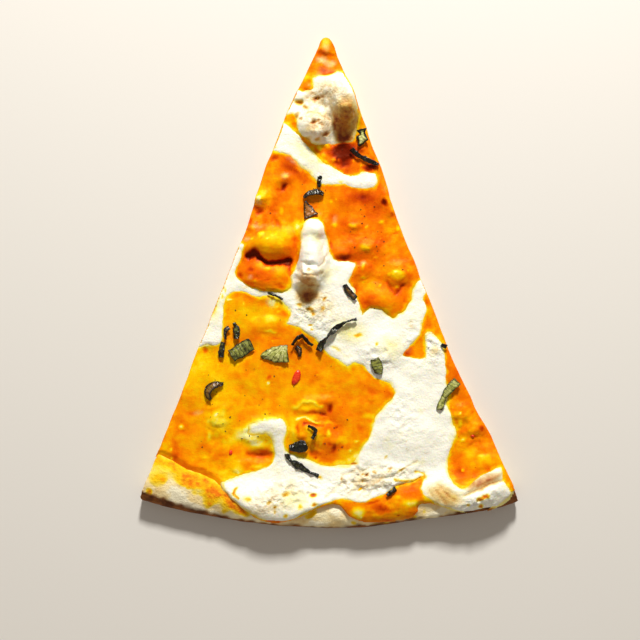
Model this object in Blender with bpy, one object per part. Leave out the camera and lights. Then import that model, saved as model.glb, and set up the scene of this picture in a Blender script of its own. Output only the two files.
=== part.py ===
"""One slice of vodka sauce pizza: an eighth of an 18 inch pie, cut, topped and dressed with basil.

The slice lies flat with its tip towards +Y and its rim towards -Y. The origin is on the table, under
the middle of the slice's bounding box. Plan positions in the lists below are in millimetres in that
frame, and everything is scaled to metres as it is built.

    crust             the dough: a flat base with a low rounded rim, turned about the pie's middle
    sauce             the sauce, one layer over the dough that shows at both cut sides, with flakes of chilli
    mozzarella_*      the melted cheese, set into pockets of the sauce
    basil_*           torn and shredded leaves that lie on the toppings
"""

import math

import bmesh
import bpy
from mathutils import Matrix, Vector, noise
from mathutils.bvhtree import BVHTree
from mathutils.geometry import interpolate_bezier

MM = 0.001
UP = Vector((0, 0, 1))

# ---- Driving dimensions, in millimetres and degrees ----

SLICE_LENGTH = 228.6
PIE_RADIUS = 231.6
SLICES_PER_PIE = 8
SLICE_ANGLE = 360 / SLICES_PER_PIE
TIP_Y = SLICE_LENGTH / 2
PIE_MIDDLE_Y = TIP_Y + PIE_RADIUS - SLICE_LENGTH

DOUGH_THICKNESS = 5.0
RIM_WIDTH = 24.0
RIM_CREST_INSET = 9.0
RIM_HEIGHT = 10.0
RIM_WAIST_HEIGHT = 4.2
UNDERSIDE_CURL = 6.0
RIM_UNEVENNESS = 0.7
RIM_LIFT_SIZE = 26.0
RIM_REACH_SIZE = 30.0
CORNER_REACH = {"left": 3.4, "right": 5.0}
CORNER_X = PIE_RADIUS * math.sin(math.radians(SLICE_ANGLE / 2))
CORNER_STARTS = 0.45

SAUCE_THICKNESS = {"base": 3.1, "rim": 1.1, "least": 1.0}
CHEESE_THICKNESS = {"base": 3.4, "rim": 2.3, "least": 2.1}
TOPPING_RIPPLE = 0.35
RIPPLE_SIZE = 11.0
SAUCE_UNDER_CHEESE = 0.9
GAP = 0.3
FOOT_OVERLAP = 0.05
LUMP_EDGE = 1.25
LUMP_SLOPE = 0.9

TOPPING_BLOCK_HALF = (96.0, 121.0)
CUT_WOBBLE = 0.5
CUT_STEP = 5.0
GRID_SPACING = 3.15
DOUGH_TURN = 84.0
DOUGH_TURN_STEPS = 46
CUTTER_TOP = 60.0

LEAF_THICKNESS = 0.5
LEAF_CLEARANCE = 0.3
LEAF_STATION = 2.1
LEAF_WAVE = 0.2
LEAF_WAVE_TURN = 2.1

# ---- Relief of the toppings: (x, y, half length, half width, turn in degrees, height) ----

LUMPS = {
    "tip bump": (-0.7, 109.0, 3.6, 3.6, 0, 1.5),
    "bubble": (7.8, 84.0, 7.2, 12.0, 4, 12.0),
    "bubble upper slope": (3.5, 90.0, 7.0, 7.5, 0, 5.0),
    "bubble left lobe": (-5.8, 73.2, 8.2, 8.0, 0, 6.5),
    "bubble left pit": (-5.5, 85.3, 3.0, 2.4, 0, -4.5),
    "bubble edge hollow": (-12.0, 83.0, 3.8, 2.4, -35, -2.5),
    "finger head": (-6.5, 24.5, 6.5, 6.5, 0, 5.5),
    "finger ridge": (-7.0, 11.5, 6.5, 12.5, 2, 8.5),
    "finger end": (-7.8, 5.0, 6.8, 6.5, 0, 8.5),
    "left cushion": (-26.5, 18.5, 11.5, 7.5, -4, 4.6),
    "left cushion end": (-35.5, 17.0, 4.5, 4.5, 0, 2.4),
    "lower left lobe": (-28.0, 4.0, 12.5, 7.0, -6, 2.4),
    "left edge bump": (-31.0, 39.0, 3.2, 2.8, 0, 2.4),
    "upper bump": (-20.0, 49.0, 3.4, 2.4, 0, 1.8),
    "small left bumps": (-34.0, 27.0, 4.2, 3.2, 0, 1.6),
    "upper right edge bump": (27.0, 40.5, 3.2, 3.0, 0, 2.0),
    "right edge bump": (30.0, 34.5, 3.4, 2.8, 0, 1.8),
    "right hill": (12.0, 27.0, 4.6, 3.4, 0, 1.5),
    "right hill below": (18.0, 17.0, 5.4, 3.8, 0, 1.8),
    "sauce ridge": (9.0, 16.5, 8.0, 4.6, 0, 1.4),
    "bright hill": (32.0, 4.5, 6.6, 5.2, 0, 3.2),
    "bright hill shoulder": (17.0, 6.5, 4.6, 3.4, 0, 1.8),
    "lower right lobe": (26.0, -6.0, 9.0, 6.5, -12, 1.5),
    "sauce step": (-29.0, -19.0, 9.0, 2.8, 2, 1.1),
    "yellow hill": (-50.0, -60.5, 7.2, 5.6, -20, 3.0),
    "white hill": (-30.0, -67.5, 10.0, 5.6, 8, 3.2),
    "brown hollow": (-31.0, -80.0, 7.0, 2.8, 0, -1.6),
    "low yellow hill": (-40.0, -86.0, 7.0, 3.8, 12, 2.0),
    "crescent": (-5.5, -56.0, 8.5, 3.2, 6, 3.0),
    "rosette": (-8.0, -69.0, 9.0, 7.0, 0, 2.6),
    "rosette right": (2.0, -73.0, 4.6, 4.2, 0, 1.8),
    "left edge dent": (-56.5, -31.5, 3.6, 2.8, 0, -1.2),
    "right strip hill": (62.0, -60.5, 5.0, 4.2, 0, 1.8),
    "right strip bump": (69.0, -67.5, 4.6, 3.6, 0, 2.0),
    "right low hill": (72.0, -80.5, 8.0, 4.6, 14, 2.0),
    "corner fold": (73.0, -97.5, 11.0, 3.4, 22, 2.0),
    "cheese fold": (28.0, -89.0, 17.0, 3.6, 20, 1.6),
    "low white plain": (38.0, -70.0, 15.0, 14.0, 0, 1.2),
    "right white plain": (28.0, -30.0, 14.0, 9.0, 0, 0.8),
}

# ---- Plan outlines, in millimetres. Outlines may run past a cut side, which trims them. ----

# The cuts aren't quite straight: (distance from the tip, how far the cut lies outwards there).
CUT_BOW = {
    "left": [
        (4, 2.0), (15, 2.5), (28, 3.3), (40, 4.0), (65, 3.3), (100, 0.8), (150, 0), (200, -1.0), (236, -1.2),
    ],
    "right": [
        (4, 1.2), (11, 1.1), (26, 1.1), (38, 1.1), (60, 0), (95, -2.3), (130, -2.6), (165, -3.2),
        (185, -2.2), (205, -0.2), (236, 0),
    ],
}
TIP_CURVE = [(-3.2, 112.3), (-2.2, 113.8), (-0.7, 114.6), (0.8, 114.3), (1.9, 113.0)]

TOPPING_OUTER_EDGE = [
    # along the foot of the bare rim
    (-79.5, -80.6), (-72.6, -83.6), (-66, -87.6), (-60, -89.6), (-54.6, -91.8), (-50, -95.2), (-46, -97.8),
    (-42.4, -102), (-37, -106),
    # over the rim, under the cheese that hangs on it
    (-31, -110), (-24, -111.4), (-16, -109.6), (-8, -105.8), (0, -102.4), (6, -102.6), (10, -107.5),
    (17, -110.6), (26, -111), (35, -110), (40, -108.2), (43.6, -103.2), (47.6, -101.6), (55, -104.2),
    (62, -107), (69.6, -107.4), (76, -106), (82, -103), (86.4, -99),
]

TIP_CHEESE = [
    (6.8, 98.6), (9.4, 94), (12, 88), (14, 82), (14.6, 76), (13.6, 70), (12, 66), (7, 65.6), (1, 65),
    (-5, 65), (-9.5, 66.6), (-13, 70.5), (-14, 76), (-16, 79.5), (-24, 78), (-20, 90), (-11, 89.6),
    (-6.6, 91), (-6.6, 95.5), (-3, 96.4), (2, 97.4),
]

BAND_CHEESE = [
    (-28, 76), (-20, 75), (-15, 70.5), (-11, 66), (-7, 61.5), (-3, 57), (4, 53.4), (10, 50.2),
    (14.2, 49.8), (16, 52), (20, 51.6), (22.8, 51), (22.8, 46.6), (20.4, 44.4), (14, 44.4), (8, 46.2),
    (2, 45.8), (-3.4, 47), (-8, 52), (-13.5, 55.5), (-17, 59.4), (-22, 60.4), (-25, 62.6), (-34, 62),
]

POOL_CHEESE = [
    # down the left cut side, under the upper sauce
    (-48, 21), (-40, 19), (-38.6, 16.8), (-41, 10), (-42.8, 5), (-41, 1.6), (-36.4, -1.2), (-29, -3.2),
    (-20.5, -4), (-17.2, -1.5), (-16.4, 4),
    # round the finger
    (-13.6, 10), (-12.2, 17), (-12.4, 24), (-10, 29), (-6, 30.2), (-2.2, 28), (-0.2, 22), (0.8, 16),
    (3, 11.6), (8, 10),
    # under the upper sauce to the right cut side
    (13.4, 9.4), (12, 5.6), (9.8, 1), (12.4, -3.6), (15.2, -9), (16.4, -14.4), (20, -11.8),
    (25.4, -12.6), (30.4, -15.4), (35, -13), (38.6, -8.4), (39.6, -2), (44, 2.2), (54, 3), (56, -4),
    # down the strip of sauce on the right
    (47.2, -3.8), (45, -7), (46, -12), (44.4, -18), (43, -24), (38.6, -28.6), (35.4, -33), (40, -34.4),
    (46, -34.8), (46.2, -29), (45.2, -23.4), (48.4, -22.4), (53.4, -28.6), (54.6, -36), (55.4, -44),
    (56.6, -50), (55.4, -56), (58.4, -64), (60.4, -70), (57, -77), (56, -86), (58.4, -92.6),
    (63.6, -94.6),
    # the right corner of the rim
    (67.6, -91), (75, -87.4), (80.4, -85), (81.4, -91), (84.8, -96.8), (81, -101.4), (76, -104.6),
    (69, -106), (62, -105.4), (54, -102.8), (46.6, -99.4), (43.6, -95), (44.8, -89.4),
    # back along the rim to the tongue that hangs over it
    (40, -91.6), (33, -93), (27, -97.4), (20, -99.8), (14.6, -101), (7, -99.8), (0, -101.4),
    (-8, -104.8), (-16, -108.6), (-24, -110.6), (-31, -108.8), (-38, -103.6), (-44.4, -98.6),
    (-48, -92.4),
    # the arm between the two hollows of the lower sauce
    (-41, -89), (-31, -86.8), (-25.4, -83.4), (-24.6, -76), (-26, -70.4), (-31, -69.6), (-37, -71.8),
    (-41, -69.4), (-36, -65.8), (-29, -63.4), (-21, -62.8), (-19, -67), (-20, -74), (-17.6, -79),
    (-9, -81.8), (1, -84.8), (10, -84), (14, -80),
    # up the right shore of the lower sauce
    (17.4, -74.6), (21, -68), (23, -61.4), (28, -55.6), (31.4, -50.8), (29, -46.6), (22, -43.8),
    (17.6, -38.8), (12.6, -36.4), (9.6, -38.4), (5, -35.6), (-1, -31.6), (-6, -25.4), (-12, -21),
    (-18, -18.4),
    # round the top of the lower sauce to the left cut side
    (-16.8, -14.4), (-19.4, -9.4), (-25, -5.6), (-33, -6.2), (-40, -3.4), (-45.4, -4.4), (-47.6, -8),
    (-48.4, -14), (-49, -21), (-50, -28), (-55, -28.4), (-66, -26),
]

CHEESE_OUTLINES = {
    "mozzarella_tip": TIP_CHEESE,
    "mozzarella_band": BAND_CHEESE,
    "mozzarella_pool": POOL_CHEESE,
}

# ---- Flakes of chilli stuck to the sauce: (x, y, half length, half width, turn in degrees) ----

FLAKES = [(-14.5, -43.4, 2.6, 1.5, 65), (-26.4, -44.3, 1.3, 1.0, 0), (21.5, -53.4, 1.4, 0.9, 30)]
FLAKE_HALF_THICKNESS = 0.7

# ---- Basil: (spine in millimetres, widths at even steps along it, roll in degrees at both ends,
#      arch across the leaf, lift) ----

BASIL = {
    "basil_curl_top": (
        [(15.9, 71.6), (16.4, 69.2), (16.0, 66.4), (14.4, 63.6)],
        (5.2, 2.8, 6.2, 3.2, 1.2), (10, 10), 1.0, 0.0,
    ),
    "basil_shred_top": (
        [(11.4, 62.4), (13.5, 60.2), (17.6, 57.8), (24.0, 55.4)],
        (2.6, 2.2, 2.4, 1.6), (40, 20), 0.3, 0.0,
    ),
    "basil_chip": ([(-3.4, 49.8), (-4, 44.8)], (2.4, 2.4, 1.2), (25, 25), 0.5, 0.0),
    "basil_ribbon": (
        [(-1.4, 41.2), (-4.8, 42.6), (-8.8, 41.8), (-10.8, 39.8)],
        (1.4, 3.2, 2.8, 1.6), (30, 40), 0.3, 0.0,
    ),
    "basil_ribbon_tail": (
        [(-10.4, 38.2), (-8.8, 35), (-7.4, 31)],
        (1.0, 4.2, 6.6), (0, 0), 0.4, 0.0,
    ),
    "basil_centre": ([(8.2, -0.4), (9.8, -3.6), (13.2, -7)], (1.8, 3.2, 2.4), (30, 20), 0.6, 0.0),
    "basil_twist": (
        [(-4, -31), (-1, -26), (3, -21.6), (8, -18.2), (13.8, -16.4)],
        (2.8, 2.6, 1.4), (-30, 340), 0.2, 0.5,
    ),
    "basil_left_curl": (
        [(-43.2, -18.2), (-41.9, -21.6), (-42.2, -25.8)],
        (1.6, 4.0, 2.4), (35, 25), 0.6, 0.2,
    ),
    "basil_left_bridge": (
        [(-45.2, -20.4), (-47, -21.6), (-47.4, -24), (-47, -26)],
        (2.0, 2.2, 1.2, 1.0), (20, 40), 0.3, 0.2,
    ),
    "basil_left_square": (
        [(-44.6, -33.7), (-39.8, -30.8), (-35, -28)],
        (6.2, 6.4, 6.0), (-6, 6), 0.7, 0.2,
    ),
    "basil_left_fleck": (
        [(-48, -27.4), (-49, -30.6), (-49.2, -34.2)],
        (2.2, 3.0, 2.2), (20, 20), 0.4, 0.2,
    ),
    "basil_fan": (
        [(-31, -33.6), (-25, -33), (-18.2, -32.5)],
        (0.8, 4.6, 7.4, 8.0, 8.0), (0, -4), 0.9, 0.0,
    ),
    "basil_arch": (
        [(-16.2, -28.6), (-14, -25.6), (-11.4, -24.4), (-9.2, -26.8), (-6.8, -28.8)],
        (2.4, 3.0, 1.8), (60, 50), 0.2, 0.0,
    ),
    "basil_arch_inner": (
        [(-14.4, -29.4), (-12.6, -31.4), (-12.8, -34)],
        (2.4, 2.6, 1.2), (15, 10), 0.5, 0.0,
    ),
    "basil_right_square": ([(22, -35), (23.4, -38.4), (23.8, -42)], (4.2, 5.4, 3.4), (0, 12), 0.7, 0.0),
    "basil_right_long": (
        [(60.6, -45), (57.4, -48), (54.2, -52.4), (52.2, -58.6)],
        (4.2, 4.0, 2.6, 3.4), (12, 0), 0.7, 0.0,
    ),
    "basil_right_edge": ([(52.6, -28.4), (55.4, -29.6)], (1.6, 2.2, 1.6), (25, 25), 0.4, 0.0),
    "basil_sunk_left": (
        [(-48.2, -46.6), (-51.8, -46.8), (-54.8, -48.6), (-55.6, -51.4), (-53.8, -53.8)],
        (1.4, 3.8, 4.0, 2.4), (30, 40), 0.4, 0.0,
    ),
    "basil_rosette": (
        [(-9.4, -74.6), (-12.6, -75.8), (-17.4, -76.3)],
        (4.2, 6.0, 4.2, 2.8), (-10, 8), 0.9, 0.0,
    ),
    "basil_rosette_tail": (
        [(-18.9, -79), (-17.4, -81.8), (-11.6, -85.6), (-4, -89.3)],
        (2.0, 1.4, 3.6, 2.4, 1.0, 2.0), (15, 5), 0.4, 0.0,
    ),
    "basil_rosette_bit": (
        [(-9, -65.8), (-5.6, -67), (-5.8, -69.6), (-7, -72)],
        (1.4, 2.4, 1.8, 2.0), (35, 25), 0.4, 0.0,
    ),
    "basil_rim": ([(31.8, -94.8), (27.6, -98)], (1.8, 2.4, 1.8), (-10, -10), 0.5, 0.0),
    "basil_sliver": ([(-27.6, -4.2), (-24, -5.6), (-20.6, -7.6)], (0.8, 1.1, 0.8), (35, 35), 0.2, 0.0),
}


# ---- Small helpers ----


def smoothstep(t):
    t = min(1.0, max(0.0, t))
    return t * t * (3 - 2 * t)


def from_middle(x, y):
    """Distance in the plan from the middle of the pie, which lies a little past the slice's tip."""
    return math.hypot(x, y - PIE_MIDDLE_Y)


def at_polar(radius, angle, from_y):
    """The plan point at this radius from a point on the middle line, and this many degrees off the line."""
    a = math.radians(angle)
    return radius * math.sin(a), from_y - radius * math.cos(a)


def ripple(x, y, size, seed):
    """Smooth unevenness from -1 to 1, the same at each run."""
    return noise.noise(Vector((x / size, y / size, seed * 7.3)))


def new_object(name, bm, material=None):
    mesh = bpy.data.meshes.new(name)
    bm.to_mesh(mesh)
    bm.free()
    obj = bpy.data.objects.new(name, mesh)
    bpy.context.scene.collection.objects.link(obj)
    if material:
        mesh.materials.append(material)
        mesh.shade_smooth()
        mesh.set_sharp_from_angle(angle=math.radians(40))
    return obj


def make_cutter(obj):
    obj.hide_render = True
    obj.display_type = "WIRE"
    return obj


def add_boolean(obj, operation, other):
    modifier = obj.modifiers.new(f"{operation.lower()} {other.name}", "BOOLEAN")
    modifier.operation = operation
    modifier.solver = "EXACT"
    modifier.object = other


def food_material(name, colour, roughness):
    material = bpy.data.materials.new(name)
    material.use_nodes = True
    shader = material.node_tree.nodes["Principled BSDF"]
    shader.inputs["Base Color"].default_value = (*colour, 1)
    shader.inputs["Roughness"].default_value = roughness
    shader.inputs["Metallic"].default_value = 0
    return material


# ---- Dough ----


def dough_top(radius):
    """Height of the plain turned dough: flat, then an S up to the rim's crest and a quarter ellipse down."""
    rim_start = PIE_RADIUS - RIM_WIDTH
    crest = PIE_RADIUS - RIM_CREST_INSET
    if radius < crest:
        rise = smoothstep((radius - rim_start) / (crest - rim_start))
        return DOUGH_THICKNESS + (RIM_HEIGHT - DOUGH_THICKNESS) * rise
    out = min(1.0, (radius - crest) / RIM_CREST_INSET)
    return RIM_WAIST_HEIGHT + (RIM_HEIGHT - RIM_WAIST_HEIGHT) * math.sqrt(1 - out * out)


def on_rim(x, y):
    """0 on the flat base, rising to 1 at the outer edge."""
    return smoothstep((from_middle(x, y) - (PIE_RADIUS - RIM_WIDTH)) / RIM_WIDTH)


def rim_lift(x, y):
    """The hand-stretched rim is a little higher in some places than in others."""
    return RIM_UNEVENNESS * on_rim(x, y) * ripple(x, y, RIM_LIFT_SIZE, 1)


def rim_reach(x, y):
    """It also bulges a little, and its corners are pulled out."""
    towards_corner = smoothstep((abs(x) / CORNER_X - CORNER_STARTS) / (1 - CORNER_STARTS))
    corner = CORNER_REACH["left" if x < 0 else "right"] * towards_corner
    return on_rim(x, y) * (RIM_UNEVENNESS * ripple(x, y, RIM_REACH_SIZE, 3) + corner)


def dough_height(x, y):
    return dough_top(from_middle(x, y) - rim_reach(x, y)) + rim_lift(x, y)


def dough_profile():
    """The dough's section from the pie's middle outwards, as (radius, height), clockwise from the top."""
    rim_start = PIE_RADIUS - RIM_WIDTH
    crest = PIE_RADIUS - RIM_CREST_INSET
    base = [(rim_start * share, DOUGH_THICKNESS) for share in (0, 0.2, 0.4, 0.6, 0.8, 1)]
    slope_steps, round_steps, under_steps = 5, 6, 4
    slope = [rim_start + (crest - rim_start) * i / slope_steps for i in range(1, slope_steps + 1)]
    quarter = math.pi / 2
    turns = [quarter * i / round_steps for i in range(1, round_steps + 1)]
    outer = [crest + RIM_CREST_INSET * math.sin(turn) for turn in turns]
    top = base + [(r, dough_top(r)) for r in slope + outer]
    under = []
    for i in range(1, under_steps + 1):
        turn = quarter * i / under_steps
        inwards, height = UNDERSIDE_CURL * (1 - math.cos(turn)), RIM_WAIST_HEIGHT * (1 - math.sin(turn))
        under.append((PIE_RADIUS - inwards, height))
    bottom = [(rim_start * share, 0) for share in (0.75, 0.4, 0)]
    return top + under + bottom


def turned_dough(name, lift=0.0, material=None):
    """The dough's section turned about the pie's middle, wider than the slice. Lifted, it is a cutter."""
    bm = bmesh.new()
    start = [bm.verts.new((*at_polar(r, -DOUGH_TURN / 2, PIE_MIDDLE_Y), z)) for r, z in dough_profile()]
    edges = [bm.edges.new((a, b)) for a, b in zip(start, start[1:] + start[:1])]
    first_side = bm.faces.new(start)
    bmesh.ops.spin(
        bm, geom=[first_side, *edges, *start], cent=(0, PIE_MIDDLE_Y, 0), axis=(0, 0, 1),
        angle=math.radians(DOUGH_TURN), steps=DOUGH_TURN_STEPS,
    )
    bmesh.ops.remove_doubles(bm, verts=bm.verts, dist=0.001)
    for vert in bm.verts:
        x, y, z = vert.co
        outwards = Vector((x, y - PIE_MIDDLE_Y, 0)).normalized()
        vert.co += outwards * (rim_reach(x, y) + lift * on_rim(x, y))
        vert.co.z += lift + (rim_lift(x, y) if z > RIM_WAIST_HEIGHT / 2 else 0)
        vert.co *= MM
    bmesh.ops.recalc_face_normals(bm, faces=bm.faces)
    return new_object(name, bm, material)


# ---- The two cuts ----


def between(table, at):
    """The value at this place, by smooth steps from one entry of the table to the next."""
    for (start, first), (end, second) in zip(table, table[1:]):
        if at <= end:
            return first + (second - first) * smoothstep((at - start) / (end - start))
    return table[-1][1]


def cut_side(side, reach):
    """Points along a cut, from near the tip out to this distance, which bows and wanders a little."""
    sign = -1 if side == "left" else 1
    steps = round(reach / CUT_STEP)
    points = []
    for i in range(1, steps + 1):
        radius = reach * i / steps
        out = between(CUT_BOW[side], radius) + CUT_WOBBLE * ripple(radius, sign * 50, 8, 5)
        x, y = at_polar(radius, sign * SLICE_ANGLE / 2, TIP_Y)
        across = math.radians(SLICE_ANGLE / 2)
        points.append((x + sign * out * math.cos(across), y + out * math.sin(across)))
    return points


def cut_loop(edge):
    """The slice's plan between its two cuts, ended by this edge, which runs from left to right."""
    (left_x, left_y), (right_x, right_y) = edge[0], edge[-1]
    left = cut_side("left", math.hypot(left_x, left_y - TIP_Y))
    right = cut_side("right", math.hypot(right_x, right_y - TIP_Y))
    return clockwise(TIP_CURVE[::-1] + left + edge[1:-1] + right[::-1])


# ---- Toppings ----


def lump_height(x, y, lump):
    """A rounded hill or hollow on an ellipse, flat-topped enough to read as a lump."""
    lump_x, lump_y, half_length, half_width, turn, height = lump
    a = math.radians(turn)
    along = ((x - lump_x) * math.cos(a) + (y - lump_y) * math.sin(a)) / half_length
    across = (-(x - lump_x) * math.sin(a) + (y - lump_y) * math.cos(a)) / half_width
    distance = math.hypot(along, across)
    return height * smoothstep((LUMP_EDGE - distance) / LUMP_SLOPE)


def topping_top(x, y, layer):
    """Height of the toppings' surface. The layer is one of the two tables of thickness over the dough."""
    thickness = layer["base"] + (layer["rim"] - layer["base"]) * on_rim(x, y)
    thickness += TOPPING_RIPPLE * ripple(x, y, RIPPLE_SIZE, 4) * (1 - 0.5 * on_rim(x, y))
    hills = max([0] + [lump_height(x, y, lump) for lump in LUMPS.values() if lump[5] > 0])
    hollows = sum(lump_height(x, y, lump) for lump in LUMPS.values() if lump[5] < 0)
    return dough_height(x, y) + max(thickness + hills + hollows, layer["least"])


def block_foot(lift):
    """Just under the raised dough's base, and over the waist of its rim."""
    return DOUGH_THICKNESS + lift - FOOT_OVERLAP


def topping_block(layer, lift):
    """A block over the whole slice, whose upper face carries the relief. It reaches down to the base of the
    dough raised by lift, so that the raised dough can be cut from it."""
    bm = bmesh.new()
    half_x, half_y = TOPPING_BLOCK_HALF
    bmesh.ops.create_grid(
        bm, x_segments=round(2 * half_x / GRID_SPACING), y_segments=round(2 * half_y / GRID_SPACING), size=1
    )
    for vert in bm.verts:
        vert.co.x *= half_x
        vert.co.y *= half_y
        vert.co.z = max(topping_top(vert.co.x, vert.co.y, layer), DOUGH_THICKNESS + layer["least"])
    rim_edges = [edge for edge in bm.edges if edge.is_boundary]
    skirt = bmesh.ops.extrude_edge_only(bm, edges=rim_edges)["geom"]
    foot = [item for item in skirt if isinstance(item, bmesh.types.BMVert)]
    for vert in foot:
        vert.co.z = block_foot(lift)
    bmesh.ops.holes_fill(bm, edges=[edge for edge in bm.edges if edge.is_boundary])
    bmesh.ops.scale(bm, vec=(MM, MM, MM), verts=bm.verts)
    bmesh.ops.recalc_face_normals(bm, faces=bm.faces)
    return bm


def curve_through(points, steps):
    """A smooth curve through the inner points, by Bezier arcs. The first and last points only steer it."""
    line = []
    for before, here, there, after in zip(points, points[1:], points[2:], points[3:]):
        before, here, there, after = (Vector(p).to_3d() for p in (before, here, there, after))
        leaving, arriving = here + (there - before) / 6, there - (after - here) / 6
        line += interpolate_bezier(here, leaving, arriving, there, steps + 1)[:-1]
    return [(p.x, p.y) for p in line]


def open_curve(points, steps=2):
    """A smooth curve through all of the points."""
    (x0, y0), (x1, y1) = points[:2]
    (x2, y2), (x3, y3) = points[-2:]
    padded = [(2 * x0 - x1, 2 * y0 - y1), *points, (2 * x3 - x2, 2 * y3 - y2)]
    return curve_through(padded, steps) + [points[-1]]


def smooth_loop(points, steps=2):
    """A closed smooth curve through the points."""
    return curve_through([points[-1], *points, points[0], points[1]], steps)


def grown(loop, by):
    """The loop moved outwards by a distance. The loop runs clockwise."""
    moved = []
    for i, (x, y) in enumerate(loop):
        (x0, y0), (x1, y1) = loop[i - 1], loop[(i + 1) % len(loop)]
        along = Vector((x1 - x0, y1 - y0)).normalized()
        moved.append((x - along.y * by, y + along.x * by))
    return moved


def clockwise(loop):
    area = sum(x0 * y1 - x1 * y0 for (x0, y0), (x1, y1) in zip(loop, loop[1:] + loop[:1]))
    return loop if area < 0 else loop[::-1]


def prism(name, loop, low=0.0):
    """An upright prism on a plan loop, as a cutter."""
    bm = bmesh.new()
    face = bm.faces.new([bm.verts.new((x * MM, y * MM, low * MM)) for x, y in loop])
    extruded = bmesh.ops.extrude_face_region(bm, geom=[face])["geom"]
    top = [item for item in extruded if isinstance(item, bmesh.types.BMVert)]
    bmesh.ops.translate(bm, vec=(0, 0, (CUTTER_TOP - low) * MM), verts=top)
    bmesh.ops.recalc_face_normals(bm, faces=bm.faces)
    return make_cutter(new_object(name, bm))


def build_toppings(sauce_material, cheese_material):
    """The sauce, with a pocket for each cheese, and the cheeses that fill the pockets."""
    topping_edge = open_curve(TOPPING_OUTER_EDGE)
    topped_area = prism("topped_area", cut_loop(topping_edge))
    sauce_lift = GAP
    pocket_lift = sauce_lift + SAUCE_UNDER_CHEESE
    cheese_lift = pocket_lift + GAP
    under_sauce = make_cutter(turned_dough("under_sauce", sauce_lift))
    under_pocket = make_cutter(turned_dough("under_pocket", pocket_lift))
    under_cheese = make_cutter(turned_dough("under_cheese", cheese_lift))
    sauce = new_object("sauce", topping_block(SAUCE_THICKNESS, sauce_lift), sauce_material)
    add_boolean(sauce, "INTERSECT", topped_area)
    add_boolean(sauce, "DIFFERENCE", under_sauce)
    toppings = [sauce]
    for name, outline in CHEESE_OUTLINES.items():
        loop = clockwise(smooth_loop(outline))
        pocket = prism(f"{name}_pocket", grown(loop, GAP), block_foot(pocket_lift))
        add_boolean(pocket, "DIFFERENCE", under_pocket)
        add_boolean(sauce, "DIFFERENCE", pocket)
        cheese = new_object(name, topping_block(CHEESE_THICKNESS, cheese_lift), cheese_material)
        add_boolean(cheese, "INTERSECT", topped_area)
        add_boolean(cheese, "INTERSECT", prism(f"{name}_outline", loop))
        add_boolean(cheese, "DIFFERENCE", under_cheese)
        toppings.append(cheese)
    return toppings


def fuse_flakes(sauce):
    """Flattened balls joined to the sauce's surface."""
    for i, (x, y, half_length, half_width, turn) in enumerate(FLAKES):
        bm = bmesh.new()
        bmesh.ops.create_icosphere(bm, subdivisions=1, radius=1)
        bmesh.ops.scale(bm, vec=(half_length, half_width, FLAKE_HALF_THICKNESS), verts=bm.verts)
        bmesh.ops.rotate(bm, matrix=Matrix.Rotation(math.radians(turn), 3, "Z"), verts=bm.verts)
        bmesh.ops.translate(bm, vec=(x, y, topping_top(x, y, SAUCE_THICKNESS)), verts=bm.verts)
        bmesh.ops.scale(bm, vec=(MM, MM, MM), verts=bm.verts)
        add_boolean(sauce, "UNION", make_cutter(new_object(f"flake_{i}", bm)))


def build_crust(material):
    """The dough of the slice, cut out by the two cuts."""
    beyond = PIE_RADIUS + 2 * max(CORNER_REACH.values())
    edge = [at_polar(beyond, turn, TIP_Y) for turn in (-SLICE_ANGLE / 2, 0, SLICE_ANGLE / 2)]
    crust = turned_dough("crust", material=material)
    add_boolean(crust, "INTERSECT", prism("whole_slice", cut_loop(edge), low=-1))
    return crust


# ---- Basil ----


def ground_under(objects):
    """A function that gives the height of these objects' surface, in millimetres, at a plan point."""
    graph = bpy.context.evaluated_depsgraph_get()
    trees = [BVHTree.FromObject(obj, graph) for obj in objects]

    def height(x, y):
        hits = [tree.ray_cast(Vector((x * MM, y * MM, 0.1)), Vector((0, 0, -1)))[0] for tree in trees]
        return max([hit.z / MM for hit in hits if hit] + [DOUGH_THICKNESS])

    return height


def spine_stations(points):
    """Evenly spaced points along a smooth open curve through the points."""
    line = [Vector(p).to_3d() for p in open_curve(points, steps=12)]
    travelled = [0.0]
    for a, b in zip(line, line[1:]):
        travelled.append(travelled[-1] + (b - a).length)
    count = max(4, round(travelled[-1] / LEAF_STATION) + 1)
    wanted = [travelled[-1] * i / (count - 1) for i in range(count)]
    return [line[min(range(len(line)), key=lambda k: abs(travelled[k] - w))] for w in wanted]


def width_at(widths, share):
    """The width at this share of the spine, between its even steps."""
    steps = len(widths) - 1
    return between([(i / steps, width) for i, width in enumerate(widths)], share)


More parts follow.
